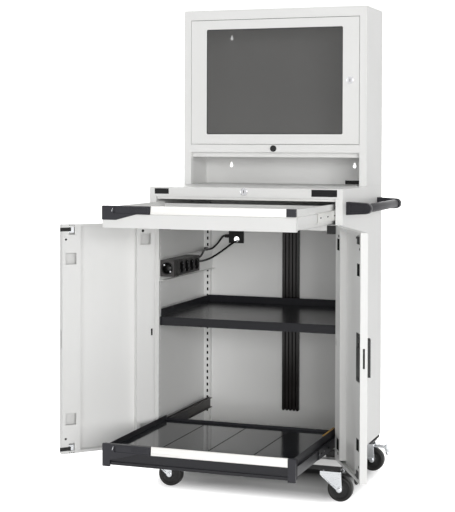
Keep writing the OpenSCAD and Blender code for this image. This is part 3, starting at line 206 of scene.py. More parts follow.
def metal(name, colour, shade, rough, metallic, grain):
    # Drawn grain is a noise stretched along the metal's length; it moves colour, gloss and bump
    s = Sheet(name)
    streak = s.noise(1.0, 3.0, 0.6, s.stretched(grain))
    cloud = s.noise(30.0, 3.0)
    s.set(Metallic=metallic, Base_Color=s.mix(streak * 0.5 + cloud * 0.5, linear(*colour), linear(*shade)),
          Roughness=rough + (streak - 0.5) * 0.14 + (cloud - 0.5) * 0.1, Normal=s.bump(streak, 0.3, 0.00003))
    return s.material


mouldedValues = {
    # name: full name, colour, shade, roughness, specular level, and scale and depth of an unusual grain
    "handle": ("dark handle plastic", (32, 31, 36), (26, 25, 30), 0.5, 0.25),
    "cap": ("blue-grey moulded plastic", (40, 40, 46), (33, 33, 38), 0.38, 0.35),
    "black": ("black moulded plastic", (20, 19, 19), (14, 14, 14), 0.4, 0.35),
    "label": ("black label plate", (14, 14, 15), (10, 10, 11), 0.22, 0.3, 300.0, 0.00001),
    "gloss": ("glossy black plastic", (15, 14, 13), (11, 11, 11), 0.3, 0.3),
    "cord": ("black cord sheath", (17, 16, 16), (12, 12, 12), 0.36, 0.35, 800.0),
    "gasket": ("black rubber gasket", (16, 16, 17), (12, 12, 12), 0.55, 0.3, 700.0),
    "slotShade": ("shaded slot", (40, 38, 36), (34, 32, 30), 0.7, 0.1),
    "duct": ("dark glossy profile", (25, 21, 19), (19, 16, 15), 0.24, 0.35, 700.0, 0.00003),
    "yellow": ("amber moulded plastic", (196, 150, 38), (176, 132, 30), 0.35, 0.5),
    "shade": ("deep shade", (9, 9, 9), (6, 6, 6), 0.7, 0.1),
}


def moulded(name, colour, shade, rough, shine, scale=1100.0, depth=0.00006):
    # Even plastic: a fine grain in the bump, a slow cloud in colour and gloss
    s = Sheet(name, Specular_IOR_Level=shine)
    grain = s.noise(scale, 2.0)
    cloud = s.noise(11.0, 3.0)
    s.set(Base_Color=s.mix(cloud, linear(*colour), linear(*shade)), Roughness=rough + (cloud - 0.5) * 0.14,
          Normal=s.bump(grain, 0.3, depth))
    return s.material


def tyreRubber(name):
    # Scuffs run round the tread; dust and scuffs lighten the rubber
    s = Sheet(name, Specular_IOR_Level=0.3)
    scuff = s.noise(1.0, 4.0, 0.65, s.stretched((180.0, 500.0, 180.0)))
    floorDust = s.noise(70.0, 4.0)
    s.set(Base_Color=s.mix((floorDust - 0.45) * 0.7 + scuff * 0.25, linear(16, 15, 14), linear(30, 28, 26)),
          Roughness=0.5 + (scuff - 0.5) * 0.3, Normal=s.bump(scuff, 0.25, 0.0001))
    return s.material


glassValues = {"name": "smoked glass", "tint": (52, 51, 49), "tintShade": (58, 57, 55), "cover": 0.46}


def smokedGlass(v):
    # Tinted glass: a thin dark film whose alpha sets how much of the housing shows through
    s = Sheet(v["name"], Specular_IOR_Level=0.9)
    smear = s.noise(7.0, 3.0)
    s.set(Base_Color=s.mix(smear, linear(*v["tint"]), linear(*v["tintShade"])), Roughness=0.05 + smear * 0.05,
          Alpha=v["cover"] + (smear - 0.5) * 0.03)
    return s.material


regionValues = {
    # name: full name, then the mask, colour, shade, roughness and metallic share of each region
    "runnerSet": ("runner members and carrier plates", [
        (None, (226, 226, 222), (206, 206, 203), 0.42, 0.45),
        (lambda x, y, z: z.below(0.3), (52, 48, 46), (44, 40, 38), 0.36, 0.0)]),
    "mounts": ("channels and castor plates", [
        (None, (24, 23, 24), (18, 17, 18), 0.4, 0.0),
        # Castor plates below this level: zinc parts drawn dark as painted shade
        (lambda x, y, z: z.below(0.1029), (34, 33, 34), (27, 26, 27), 0.34, 0.0)]),
    "stripBody": ("socket strip body", [
        (None, (31, 29, 28), (25, 23, 22), 0.38, 0.0),
        (lambda x, y, z: y.below(-0.2312), (62, 60, 60), (54, 52, 52), 0.42, 0.0),
        (lambda x, y, z: y.above(0.0058), (28, 27, 27), (22, 22, 22), 0.45, 0.0)]),
}


def regionFinish(name, regions):
    # One node in several finishes: each later region covers the places its mask picks out
    s = Sheet(name, Specular_IOR_Level=0.3)
    x, y, z = s.axes()[:3]
    cloud, fine = s.noise(18.0, 3.0), s.noise(900.0, 2.0)
    for mask, first, second, roughness, metalness in regions:
        here = s.mix(cloud * 0.7 + fine * 0.3, linear(*first), linear(*second))
        if mask is None:
            colour, rough, metallic = here, roughness + (cloud - 0.5) * 0.1, metalness + cloud * 0.0
        else:
            m = mask(x, y, z)
            colour = s.mix(m, colour, here)
            rough = rough + (roughness + (cloud - 0.5) * 0.1 - rough) * m
            metallic = metallic + (metalness - metallic) * m
    s.set(Base_Color=colour, Roughness=rough, Metallic=metallic, Normal=s.bump(fine, 0.3, 0.00005))
    return s.material


materials = {"tyre": tyreRubber("black wheel rubber"), "mat": glossMat(matFinish),
             "glass": smokedGlass(glassValues)}
materials.update({name: powderCoat(powderValues, *values) for name, values in powderValues["coats"].items()})
for make, table in ((metal, metalValues), (moulded, mouldedValues), (regionFinish, regionValues)):
    materials.update({name: make(*values) for name, values in table.items()})
print("materials made:", len(materials))


# Shapes worked out as whole arrays


def gridFaces(rows, columns, closeRows=False, closeColumns=True):
    # Quads between neighbouring rows and columns of a grid of points
    i, j = np.mgrid[:rows - (not closeRows), :columns - (not closeColumns)]
    a, b = (i + 1) % rows, (j + 1) % columns
    return np.stack([i * columns + j, i * columns + b, a * columns + b, a * columns + j], -1).reshape(-1, 4)


class Shape:
    # Collects grids of points into one mesh
    def __init__(self):
        self.points, self.faces = np.empty((0, 3)), []

    def add(self, points, faces):
        self.faces += [tuple(i + len(self.points) for i in f) for f in faces]
        self.points = np.vstack([self.points, np.reshape(points, (-1, 3))])
        return self

    def grid(self, points, ring=False):
        # Rows of points joined by quads: the last row meets the first, or both ends are capped
        rows, columns = points.shape[:2]
        faces = gridFaces(rows, columns, ring).tolist()
        if not ring:
            faces += [range(columns - 1, -1, -1), range((rows - 1) * columns, rows * columns)]
        return self.add(points, faces)

    def moved(self, matrix):
        # The same shape under a 4 by 4 matrix, its faces turned over where that mirrors
        m = np.array(matrix, float)
        turn = -1 if np.linalg.det(m[:3, :3]) < 0 else 1
        return Shape().add(self.points @ m[:3, :3].T + m[:3, 3], [f[::turn] for f in self.faces])

    def join(self, other):
        return self.add(other.points, other.faces)

    def piece(self, name, material, body, slot, smooth=True):
        # An object in metres with one material, riding with its body
        mesh = bpy.data.meshes.new(name)
        mesh.from_pydata((self.points * mm).tolist(), [], self.faces)
        mesh.validate()
        if smooth:
            mesh.shade_smooth()
        mesh.materials.append(materials[material])
        made = bpy.data.objects.new(name, mesh)
        bpy.context.scene.collection.objects.link(made)
        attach(made, body)
        return made


def turned(profile, sides=48, spin=(0, 0, 1), at=(0, 0, 0), ring=False):
    # A profile of (radius, height) pairs turned about an axis: its ends capped, or joined up into a ring
    profile = np.asarray(profile, float)[:, None]
    a = np.linspace(0, 2 * np.pi, sides, endpoint=False)
    around = np.stack([np.cos(a), np.sin(a), np.zeros(sides)], -1)
    turn = np.array(Vector((0, 0, 1)).rotation_difference(Vector(spin)).to_matrix())
    points = profile[..., :1] * around + profile[..., 1:] * (0, 0, 1.0)
    return Shape().grid(points @ turn.T + at, ring)


def outline(width, height, radius, steps):
    # Rounded rectangle about the origin, anticlockwise: a quarter circle about each corner's centre
    a = (np.linspace(0, np.pi / 2, steps) + np.arange(4)[:, None] * np.pi / 2).ravel()
    sx, sy = np.repeat([[1, -1, -1, 1], [1, 1, -1, -1]], steps, axis=1)
    centres = np.stack([sx * (width / 2 - radius), sy * (height / 2 - radius)], -1)
    return centres + radius * np.stack([np.cos(a), np.sin(a)], -1)


def inward(loop, amount):
    # A closed loop of 2D points moved inwards by an amount, along the mean of its two edge normals
    ahead = np.roll(loop, -1, 0) - loop
    length = np.linalg.norm(ahead, axis=1, keepdims=True)
    ahead = ahead / np.maximum(length, 1e-9)
    before = np.roll(ahead, 1, 0)
    bisect = np.stack([-(ahead + before)[:, 1], (ahead + before)[:, 0]], -1)
    norm = np.maximum((bisect ** 2).sum(1, keepdims=True) / 2, 0.25)
    return loop + bisect / norm * amount


def slab(loop, low, high, edge, axis="z"):
    # Three rings at each end, drawn in by a quarter circle; the last one lies an edge below the top
    draw = [(edge * (1 - np.sin(t)), edge * (1 - np.cos(t))) for t in np.linspace(0, np.pi / 2, 3)]
    rings = []
    for inset, level in [(d, low + rise) for d, rise in draw] + [(d, high - rise) for d, rise in draw]:
        flat = inward(loop, inset) if inset > 1e-9 else loop
        rings.append(np.column_stack([flat, np.full(len(flat), level)]))
    points = np.stack(rings)
    if axis == "y":      # loop drawn in X and Z, thickness along -Y
        points = np.stack([points[..., 0], -points[..., 2], points[..., 1]], -1)
    return Shape().grid(points)


def bar(x0, x1, y0, y1, z0, z1, edge):
    # A block with its edges broken, thickness along Z
    loop = outline(x1 - x0, y1 - y0, edge, 3) + [(x0 + x1) / 2, (y0 + y1) / 2]
    return slab(loop, z0, z1, edge)


def sweep(path, radius, sides=12):
    # A round profile carried along a path, each ring square to the path and turned as little as possible
    path = np.asarray(path, float)
    ahead = np.gradient(path, axis=0)
    ahead /= np.linalg.norm(ahead, axis=1, keepdims=True)
    side = np.zeros_like(path)
    first = np.cross(ahead[0], (0, 0, 1.0))
    if np.linalg.norm(first) < 1e-3:
        first = np.cross(ahead[0], (0, 1.0, 0))
    side[0] = first / np.linalg.norm(first)
    for k in range(1, len(path)):
        s = side[k - 1] - ahead[k] * (side[k - 1] @ ahead[k])
        side[k] = s / np.linalg.norm(s)
    other = np.cross(ahead, side)
    a = np.linspace(0, 2 * np.pi, sides, endpoint=False)[None, :, None]
    return Shape().grid(path[:, None] + radius * (np.cos(a) * side[:, None] + np.sin(a) * other[:, None]))


# Cords


def coilRoute(v):
    # Layers that spiral in and out at a steady rate, each a step higher
    turns = v["layerTurns"] * v["layers"]
    t = np.arange(int(turns * v["perTurn"]) + 1) / v["perTurn"]
    u = t / v["layerTurns"]
    layer = np.minimum(v["layers"] - 1, np.floor(u))
    part = u - layer
    r = v["inner"] + v["pitch"] * v["layerTurns"] * np.where(layer % 2 == 0, 1 - part, part)
    climb = sum(np.clip((t - j * v["layerTurns"] + 0.25) / 0.5, 0, 1) for j in range(1, v["layers"]))
    a = 2 * np.pi * t
    return np.stack([v["centre"][0] + r * np.sin(a), v["centre"][1] - r * np.cos(a),
                     v["diameter"] / 2 + v["step"] * climb], -1)


leadValues = {
    "diameter": 7.0, "centre": (-118, 325.5), "inner": 32, "pitch": 7.8, "step": 7.7,
    "layerTurns": 1.75, "layers": 4, "perTurn": 24,
    "cut": 9, "linkCut": 6,   # steps along the two leads
    "start": (-279, 30, 711), "out": (-208, 262.5, 776),
    "inside": [
        (0, 0, 0), (0, 0.065, 0), (0.014, 0.138, -0.008), (0.042, 0.224, -0.015), (0.085, 0.318, -0.008),
        (0.155, 0.413, 0.031), (0.254, 0.508, 0.108), (0.38, 0.602, 0.231), (0.521, 0.692, 0.385),
        (0.676, 0.778, 0.554), (0.817, 0.856, 0.723), (0.93, 0.92, 0.846), (0.986, 0.972, 0.892),
    ],
    "behind": [
        (0, 4.5, 770), (0, 17.5, 769.5), (0, 29.5, 766), (0, 39.5, 759), (0, 46.5, 749), (0, 50.5, 737),
        (0, 51.5, 722), (0, 50.5, 700), (0, 49.5, 640), (0, 49.5, 560), (1, 49.5, 460), (2, 49.5, 360),
        (3, 49.5, 260), (4, 49.5, 160), (5, 49.5, 90), (6, 48.5, 60), (8, 47.5, 42), (12, 45.5, 26),
        (19, 42.5, 13), (28, 38.5, 6), (39, 33.5, 3.6), (51, 27, 3.5), (62, 21, 3.5), (74, 17.35, 3.5),
        (83, 17.35, 3.5),
    ],
    "tail": [(12, 0, 0), (24, 0.2, -1.8), (36, 0.4, -4.6), (48, 0.5, -6.6), (57, 0.5, -7.1), (64, 0.5, -7.1)],
    "linkStart": (-266, 30, 728), "clip": (-289.5, 172.06, 745), "linkEnd": (-248.5, 251, 788),
    "first": [
        (0, 0, 0), (0, 0.099, 0), (0.085, 0.225, 0.206), (0.255, 0.38, 0.5), (0.468, 0.535, 0.794),
        (0.723, 0.69, 0.988), (0.936, 0.845, 1.012),
    ],
    "second": [
        (0, 0, 0), (0, 0.177, -0.035), (0.061, 0.342, -0.047), (0.183, 0.494, 0.023), (0.317, 0.627, 0.174),
        (0.463, 0.747, 0.372), (0.585, 0.848, 0.593), (0.683, 0.93, 0.791), (0.78, 0.982, 0.935),
        (0.89, 1, 1), (1, 1, 1),
    ],
}


def between(a, b, shares):
    # Points at given shares of the way from a to b, along each axis
    a, b, shares = (np.asarray(each, float) for each in (a, b, shares))
    return a + (b - a) * shares


def smoothRoute(points, step):
    # A Catmull-Rom line through the points, cut into steps of nearly equal length
    p = np.asarray(points, float)
    p = np.vstack([2 * p[0] - p[1], p, 2 * p[-1] - p[-2]])
    made = []
    for k in range(1, len(p) - 2):
        count = max(2, int(round(np.linalg.norm(p[k + 1] - p[k]) / step)))
        t = np.arange(count)[:, None] / count
        a, b, c, d = p[k - 1:k + 3]
        made.append(0.5 * (2 * b + (c - a) * t + (2 * a - 5 * b + 4 * c - d) * t ** 2
                           + (3 * b - a - 3 * c + d) * t ** 3))
    return np.vstack(made + [p[-2][None]])


def lineLength(path):
    # Sum of the distances between neighbouring points
    return float(np.linalg.norm(np.diff(path, axis=0), axis=1).sum())


v = leadValues
coil = coilRoute(v)
leadEnd = coil[-1] + np.array(v["tail"], float)
behind = np.array(v["behind"], float) + [*v["out"][:2], 0]
leadRoute = smoothRoute(np.vstack([between(v["start"], v["out"], v["inside"]), behind]), v["cut"])
leadTail = smoothRoute([coil[-1]] + list(leadEnd), v["cut"])
leadPath = np.vstack([leadRoute[:-1], coil[0] - [7, 0, 0], coil, leadTail[1:]])
linkPath = smoothRoute(np.vstack([between(v["linkStart"], v["clip"], v["first"]),
                                  between(v["clip"], v["linkEnd"], v["second"])]), v["linkCut"])
plugPlace = leadEnd[-1]


def reliefRings(at, spin, count, first, step, radius, growth):
    # Raised rings along a strain relief, each a little wider than the one before
    shape = Shape()
    for k in range(count):
        r, h = radius + growth * k, first + step * k
        shape.join(turned([(r - 0.6, h), (r + 0.6, h + 0.3), (r + 0.9, h + 0.8), (r + 0.6, h + 1.3),
                           (r - 0.6, h + 1.6)], 32, spin, at, ring=True))
    return shape


def mainsPlug(at):
    # Body and strain relief of a round plug lying along X
    r = at[2]
    shape = turned([(4.1, -2), (4.3, 0), (5.0, 6), (6.2, 12), (8.0, 16), (12.5, 18), (r - 4, 20),
                    (r - 1.2, 23), (r - 0.1, 27), (r, 31), (r, 43.5), (r - 0.8, 45.2), (r - 2, 46)],
                   48, (1, 0, 0), at)
    return shape.join(reliefRings(at, (1, 0, 0), 5, 1.0, 2.6, 4.3, 0.4))


plug = mainsPlug(plugPlace).piece("mainsPlug", "black", "cabinet", "black")
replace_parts(plug, "mains_plug")
pins = Shape()
for side in (-9.5, 9.5):
    pins.join(turned([(2.35, 0), (2.35, 16), (2.0, 18), (1.0, 19)], 24, (1, 0, 0),
                     (plugPlace[0] + 45.9, plugPlace[1] + side, plugPlace[2])))
plugPins = pins.piece("plugPins", "brass", "cabinet", "bright")
lead = sweep(leadPath, v["diameter"] / 2).piece("mainsLead", "cord", "cabinet", "cord")
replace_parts(lead, "mains_lead", "lead_coil")
link = sweep(linkPath, v["diameter"] / 2).piece("linkLead", "cord", "cabinet", "cord")
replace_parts(link, "link_lead")
print("cords:", round(lineLength(leadPath)), round(lineLength(linkPath)))


# Castors

castorValues = {
    "kingX": 286.5, "frontY": -232.5, "rearY": 195.5,
    "trail": 28, "radius": 40, "width": 31, "legY": 17.5, "legThick": 3, "crown": 84,
    # The front right pedal and lever are zinc parts drawn in black gloss as painted shade; the rear right
    # ones stay zinc
    "pedalFinishAndShade": {"front_right": "gloss", "rear_right": "zinc"},   # the castors with a brake
    "pedal": [(4, 45.6), (16, 45.4), (30, 45.2), (40, 44.2), (46.5, 40), (50, 34), (52.5, 28), (54.5, 23),
              (56.5, 20)],
    # half width and half thickness at shares of the pedal's length
    "pedalHalf": ([0, 0.3, 0.6, 0.8, 1.0], [15.4, 14.0, 13.0, 15.6, 14.6]),
    "pedalThick": ([0, 0.66, 0.76, 0.86, 0.95, 1.0], [2.4, 2.4, 3.6, 5.4, 4.6, 2.2]),
    "pedalCrown": 0.8,
    "race": [(21.0, -4.2), (22.4, -4.0), (23.0, -3.0), (22.6, -1.0), (22.2, -0.2), (21.0, -0.2)],
    "raceZ": 100,
}


def castorWheel(v):
    # Rubber tyre with rounded shoulders, and a hub whose half profile is mirrored about its middle
    r, w = v["radius"], v["width"] / 2
    a = np.linspace(-np.pi / 2, np.pi / 2, 13)
    crownLine = [(r - 4 + 4 * np.cos(t) ** 0.5, (w - 0.4) * np.sin(t)) for t in a[1:-1]]
    tyre = turned([(r * 0.70, -w + 2.0), (r * 0.74, -w + 0.6), (r * 0.80, -w)] + crownLine
                  + [(r * 0.80, w), (r * 0.74, w - 0.6), (r * 0.70, w - 2.0)], 72, ring=True)
    half = [(5.1, 1.2), (9.0, 1.2), (10.2, 0.5), (10.8, -0.8), (13.5, -1.6), (r * 0.60, -2.2),
            (r * 0.66, -2.2), (r * 0.69, -1.4), (r * 0.70, -2.0)]
    line = [(a, -w - b) for a, b in half] + [(r * 0.705, 0)] + [(a, w + b) for a, b in half[::-1]]
    hub = turned(line, 72, ring=True)
    return tyre, hub


def boltHead(radius, height):
    # Hexagon head with its corners turned down, on a washer
    a = np.arange(6) * np.pi / 3
    hexagon = np.stack([np.cos(a), np.sin(a)], -1) * radius
    rings = [(1.0, 0), (1.0, height * 0.8), (0.86, height)]
    points = np.stack([np.column_stack([hexagon * s, np.full(6, z)]) for s, z in rings])
    washer = turned([(radius * 1.35, -0.01), (radius * 1.35, 0.9), (radius * 1.1, 1.1)], 32)
    return Shape().grid(points).join(washer)


def forkLeg(v):
    # Outline of one pressed leg in X and Z: a slanted front edge and an upright rear one, round at the axle
    t, r, c = v["trail"], v["radius"], v["crown"]
    a = np.linspace(math.radians(200), math.radians(362), 12)
    eye = np.stack([t + 9.2 * np.cos(a), r + 9.2 * np.sin(a)], -1)
    top = [(t + 6.4, c + 9), (t + 4.4, c + 11.4), (-32.5, c + 11.4), (-34.4, c + 9.5), (-34.6, c),
           (-33, c - 3)]
    return np.vstack([eye, top])


def castorFork(v, braked):
    # Two legs with a pressed rim along the slanted edge, a head with its race between them, and the axles
    leg = forkLeg(v)
    inner, outer, c, t, r = v["legY"], v["legY"] + v["legThick"], v["crown"], v["trail"], v["radius"]
    shape, bolts = Shape(), Shape()
    for side in (-1, 1):
        shape.join(slab(leg, *sorted((-side * inner, -side * outer)), 0.9, "y"))
        rim = side * (outer + 0.2)
        edge = [(-29, side * outer, c - 4), (-10, rim, c - 20), (t - 11, rim, r + 6)]
        shape.join(sweep(smoothRoute(edge, 4), 0.9, 8))
        lie = shift((t, side * outer, r)) @ Matrix.Rotation(-side * math.pi / 2, 4, "X")
        bolts.join(boltHead(6.6, 4.6).moved(lie))
    head = slab(outline(56, 2 * inner - 0.6, 5, 5) + [-5, 0], c, c + 4, 1.2)
    head.join(turned([(16.6, c + 3.9), (17.1, c + 5.2), (16.9, c + 7.2), (16.4, c + 8.6), (16.2, c + 10.4),
                      (15.4, c + 11.6), (6.08, c + 11.6), (6.08, c + 3.9)], ring=True))
    bolts.join(turned([(4.9, -inner - 0.5), (4.9, inner + 0.5)], 24, (0, 1, 0), (t, 0, r)))
    if braked:
        half = [(2.45, outer - 0.1), (3.6, outer), (3.6, outer + 1.5), (2.4, outer + 1.6)]
        pin = [(a, -b) for a, b in half[::-1]] + half
        bolts.join(turned(pin, 24, (0, 1, 0), (t + 3, 0, r + 47)))
    return shape, bolts, head


def brakePedal(v):
    # A pressed strip that hugs the wheel and flares out into a toe plate with a rolled edge
    centre = np.array(v["pedal"], float)
    line = smoothRoute(np.column_stack([centre[:, 0], 0 * centre[:, 0], centre[:, 1]]), 2.5)
    share = np.linspace(0, 1, len(line))
    half, thick = (np.interp(share, *v[key])[:, None, None] for key in ("pedalHalf", "pedalThick"))
    along = np.gradient(line, axis=0)
    along /= np.linalg.norm(along, axis=1, keepdims=True)
    up = np.stack([-along[:, 2], 0 * along[:, 0], along[:, 0]], -1)[:, None]
    across = np.linspace(-1, 1, 9)[:, None]
    top = line[:, None] + across * half * (0, 1.0, 0) + up * (thick + (1 - across ** 4) * v["pedalCrown"])
    low = line[:, None] + across[::-1] * half * (0, 1.0, 0) - up * thick
    shape = Shape().grid(np.concatenate([top, low], axis=1))
    sleeve = [(4.6, -16.2), (4.6, 16.2), (2.6, 16.2), (2.6, -16.2)]
    shape.join(turned(sleeve, 28, (0, 1, 0), (3, 0, 47), ring=True))
    lever = slab(outline(26, 5, 1.5, 4) + [31, 49.4], -9, 9, 0.8, "y")
    lever.join(slab(outline(4.4, 12, 1.5, 4) + [47.4, 50.6], -9, 9, 0.8, "y"))
    axle = shift((v["trail"], 0, v["radius"]))
    return shape.moved(axle), lever.moved(axle)


def addCastors(v):
    # The same castor at four places; the two on the right carry a brake pedal and its lever
    tyre, hub = castorWheel(v)
    rim = turned(v["race"], ring=True)
    spin = Matrix.Rotation(math.pi / 2, 4, "X")
    for name in ("front_left", "front_right", "rear_left", "rear_right"):
        x, y = v["kingX"] * (1 if "right" in name else -1), v["frontY"] if "front" in name else v["rearY"]
        here = shift((x, y, 0))
        axle = shift((x + v["trail"], y, v["radius"])) @ spin
        roller, swivel = "roller_" + name, "swivel_" + name
        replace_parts(tyre.moved(axle).piece("tyre_" + name, "tyre", roller, "tread"), "wheel_" + name)
        hub.moved(axle).piece("hub_" + name, "gloss", roller, "tread")
        braked = name in v["pedalFinishAndShade"]
        fork, bolts, head = castorFork(v, braked)
        made = fork.moved(here).piece("fork_" + name + "_pressed", "zinc", swivel, "zinc", smooth=False)
        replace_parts(made, "fork_" + name)
        bolts.moved(here).piece("axle_" + name, "zinc", swivel, "zinc", smooth=False)
        # The head and the race plate of every castor are zinc parts drawn in black gloss: painted shade
        head.moved(here).piece("head_" + name, "gloss", swivel, "zinc", smooth=False)
        place = shift((x - 2, y, v["raceZ"]))
        rim.moved(place).piece("plate_" + name, "gloss", "cabinet", "zinc", smooth=False)
        if braked:
            # Zinc, or black gloss as painted shade on the front right
            pedalMaterial, body = v["pedalFinishAndShade"][name], "pedal_" + name
            pedal, lever = brakePedal(v)
            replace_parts(pedal.moved(here).piece(body, pedalMaterial, body, "zinc"), "brake_" + name)
            lever.moved(here).piece("lever_" + name, pedalMaterial, body, "zinc", smooth=False)


addCastors(castorValues)
print("castors made")


# Cabinet details that ride with their bodies


def screwHead(radius, height):
    # Profile and sides of a low domed head: a quarter wave above a short foot
    a = np.linspace(0, np.pi / 2, 5)
    return [(radius, -0.1)] + [(radius * (0.55 + 0.45 * np.cos(t)), height * np.sin(t)) for t in a], 24


def facing(point, normal, turn=0.0):
    # Matrix that lays a shape drawn upwards from the origin on a face at a point
    lie = Vector((0, 0, 1)).rotation_difference(Vector(normal)).to_matrix().to_4x4()
    return shift(Vector(point)) @ lie @ Matrix.Rotation(turn, 4, "Z")


def scatter(kinds):
    # Turned shapes laid on faces: each kind has a profile with its sides, a normal and places
    made = Shape()
    for form, normal, places in kinds:
        for place in places:
            made.join(turned(*form).moved(facing(place, normal)))
    return made


leafValues = {"hinge": (-319.5, -257), "angle": {"left_door": 132, "right_door": 118}}   # in degrees


def hang(body):
    # From a door leaf's own coordinates to the open door; other bodies keep theirs
    if body not in leafValues["angle"]:
        return Matrix()
    turn = Matrix.Rotation(-math.radians(leafValues["angle"][body]), 4, "Z")
    place = shift((*leafValues["hinge"], 0)) @ turn
    return place if body == "left_door" else Matrix.Diagonal((-1, 1, 1, 1)) @ place


barValues = {
    # name: material, body, slot, then the X, Y and Z limits and the edge of each bar
    "leftBoltPlates": ("zinc", "left_door", "zinc", [
        (277, 294.5, 11.3, 12.9, z - 11, z + 11, 0.4) for z in (153.5, 848.5)]),
    "leftBoltTabs": ("black", "left_door", "black", [
        (300, 318, 17.5, 19.1, z - 3.2, z + 3.2, 0.7) for z in (153.5, 848.5)] + [
        (x, x + 3.2, 16.3, 17.9, z - 1.2, z + 1.2, 0.3)
        for x in (277.4, 284.4, 291.4) for z in (140.3, 861.7)]),
    "rodGuideCaps": ("black", "right_door", "black", [
        (276, 306, 16.6, 18, z - 11, z + 11, 0.5) for z in (161, 841)] + [
        (262, 276, 16.6, 17.5, z - 3, z + 3, 0.3) for z in (154, 848)]),
    # Shade behind the windows of both leaves
    "rightDoorShade": ("shade", "right_door", "body_paint", [
        (268, 311, 14.4, 15, z - 20, z + 20, 0.2) for z in (246.6, 755.4)] + [
        (10, 50, 14.4, 15, z - 20, z + 20, 0.2) for z in (191.9, 810.1)] + [
        (2.5, 11.5, 14.4, 15, 493, 519, 0.2)]),
    "leftDoorShade": ("shade", "left_door", "body_paint", [(2.5, 11.5, 14.4, 15, 493, 519, 0.2)]),
    # Shade behind the slots of the uprights and the front stiles
    "uprightShade": ("shade", "cabinet", "body_paint", [
        (x, x + 7, 238.7, 239.3, 150, 856, 0.2) for x in (-313.5, 306.5)]),
    "stileShade": ("slotShade", "cabinet", "body_paint", [
        (x, x + 0.8, -232, -224, 150, 856, 0.2) for x in (-306.3, 305.5)]),
    # Shade in the drawer bay behind the fascia and in the gap round the monitor door
    "gapShade": ("shade", "cabinet", "body_paint", [
        (-300, 300, -214, -213.4, 938.5, 977, 0.1), (-300, 299.9, 44, 60, 1545.3, 1545.9, 0.1),
        (-300, 299.9, 44, 60, 1118.1, 1118.7, 0.1), (299.3, 299.9, 44, 60, 1118.1, 1545.9, 0.1)]),
    # Brush in the cable slot
    "slotBrush": ("gasket", "cabinet", "black", [(196.5, 244.5, 259.6, 260.6, 981.8, 991.4, 0.1)]),
}


def addBars(name, material, body, slot, rows):
    # Plain bars; those of a door leaf hang with it
    made = Shape()
    for row in rows:
        made.join(bar(*row))
    made.moved(hang(body)).piece(name, material, body, slot, smooth=False)


for name, values in barValues.items():
    addBars(name, *values)

doorCaps = [
    (([(4.6, -0.3), (4.6, 0.7), (3.8, 1.3), (2.0, 1.5)], 24), (0, 1, 0),
     [(39.8, 16.5, z) for z in (165, 837)]),
    (([(3.6, -0.3), (3.6, 0.5), (3.0, 0.9)], 20), (0, 1, 0), [(306, 16.5, z) for z in (185.4, 816.6)])]
scatterValues = {
    # name: material, body, slot, smooth shading, then a form, normal and places for each kind
    "leftDoorCaps": ("black", "left_door", "black", True, doorCaps),
    "rightDoorCaps": ("black", "right_door", "black", True, doorCaps),
    "handleScrews": ("handle", "cabinet", "bright", True, [
        (screwHead(3.4, 1.3), (0, s, 0), [(343, s * 219, z) for z in (908, 929)]) for s in (-1, 1)]),
    "backRivets": ("light", "cabinet", "body_paint", True, [
        (screwHead(3.0, 0.9), (0, 1, 0), [(x, 262.4, z) for z in (
            1010, 1160, 1300, 1440, 1552, 150, 330, 510, 690, 870) for x in (-313, 313)])]),
    "hingeBlockScrews": ("black", "cabinet", "black", True, [
        (screwHead(2.6, 1.0), (0, -1, 0), [
            (x, -239, z) for x in (-285, 285) for z in (843, 862, 141, 153)])]),
    # Dark punched marks low on the back panel by the right upright, drawn as discs of painted shade
    "backMarks": ("shade", "cabinet", "body_paint", False, [
        (([(2.6, 0), (2.6, 0.35)], 20), (0, -1, 0), [(283, 261, z) for z in (412, 306)]),
        (([(1.4, 0), (1.4, 0.35)], 14), (0, -1, 0), [(292, 261, 405 - k * 9.5) for k in range(9)])]),
}
for name, (material, body, slot, smooth, kinds) in scatterValues.items():
    scatter(kinds).moved(hang(body)).piece(name, material, body, slot, smooth)


coverValues = {
    # width, height, corner, steps, middle, low and high level, edge of the plate and of its rib
    "plates": [(40, 134, 3, 4, (290, 501), -16.9, -15.9, 0.4),
               (9, 70, 4.4, 6, (277, 501), -17.6, -16.7, 0.4)],
    "boss": (([(7.5, -0.3), (7.5, 2.2), (6.8, 2.9), (3.0, 3.0)], 32), (0, 1, 0), [(296, 16.7, 538)]),
    "screws": (screwHead(3.4, 1.4), (0, 1, 0), [(x, 16.8, z) for x in (300, 281) for z in (442, 560)]),
}


def lockCover(v):
    # Cover of the lock case with its raised rib, boss and screws
    made = scatter([v["boss"], v["screws"]])
    for wide, high, corner, steps, middle, low, top, edge in v["plates"]:
        made.join(slab(outline(wide, high, corner, steps) + middle, low, top, edge, "y"))
    made.moved(hang("right_door")).piece("lockCover", "black", "right_door", "black", smooth=False)


lockCover(coverValues)


socketValues = {
    "face": -251.2, "z": 711, "recess": 10, "radius": 18.5, "places": (-161, -116, -71, -26),
    "end": (-275.7, -232), "turn": 45,
    "well": 2.9, "apart": 9.5, "clip": 2.4,
    "reliefs": [(-279, 6, 711), (-266, 6, 728)], "relief": (6, 2.5, 3.4, 6.6, -0.42),
    "plugs": [(([(3.4, -0.2), (3.4, 0.5), (2.4, 0.9)], 20), (1, 0, 0),
               [(-251.2, -200, 731), (-251.2, -200, 691), (-251.2, -4, 711)])],
}


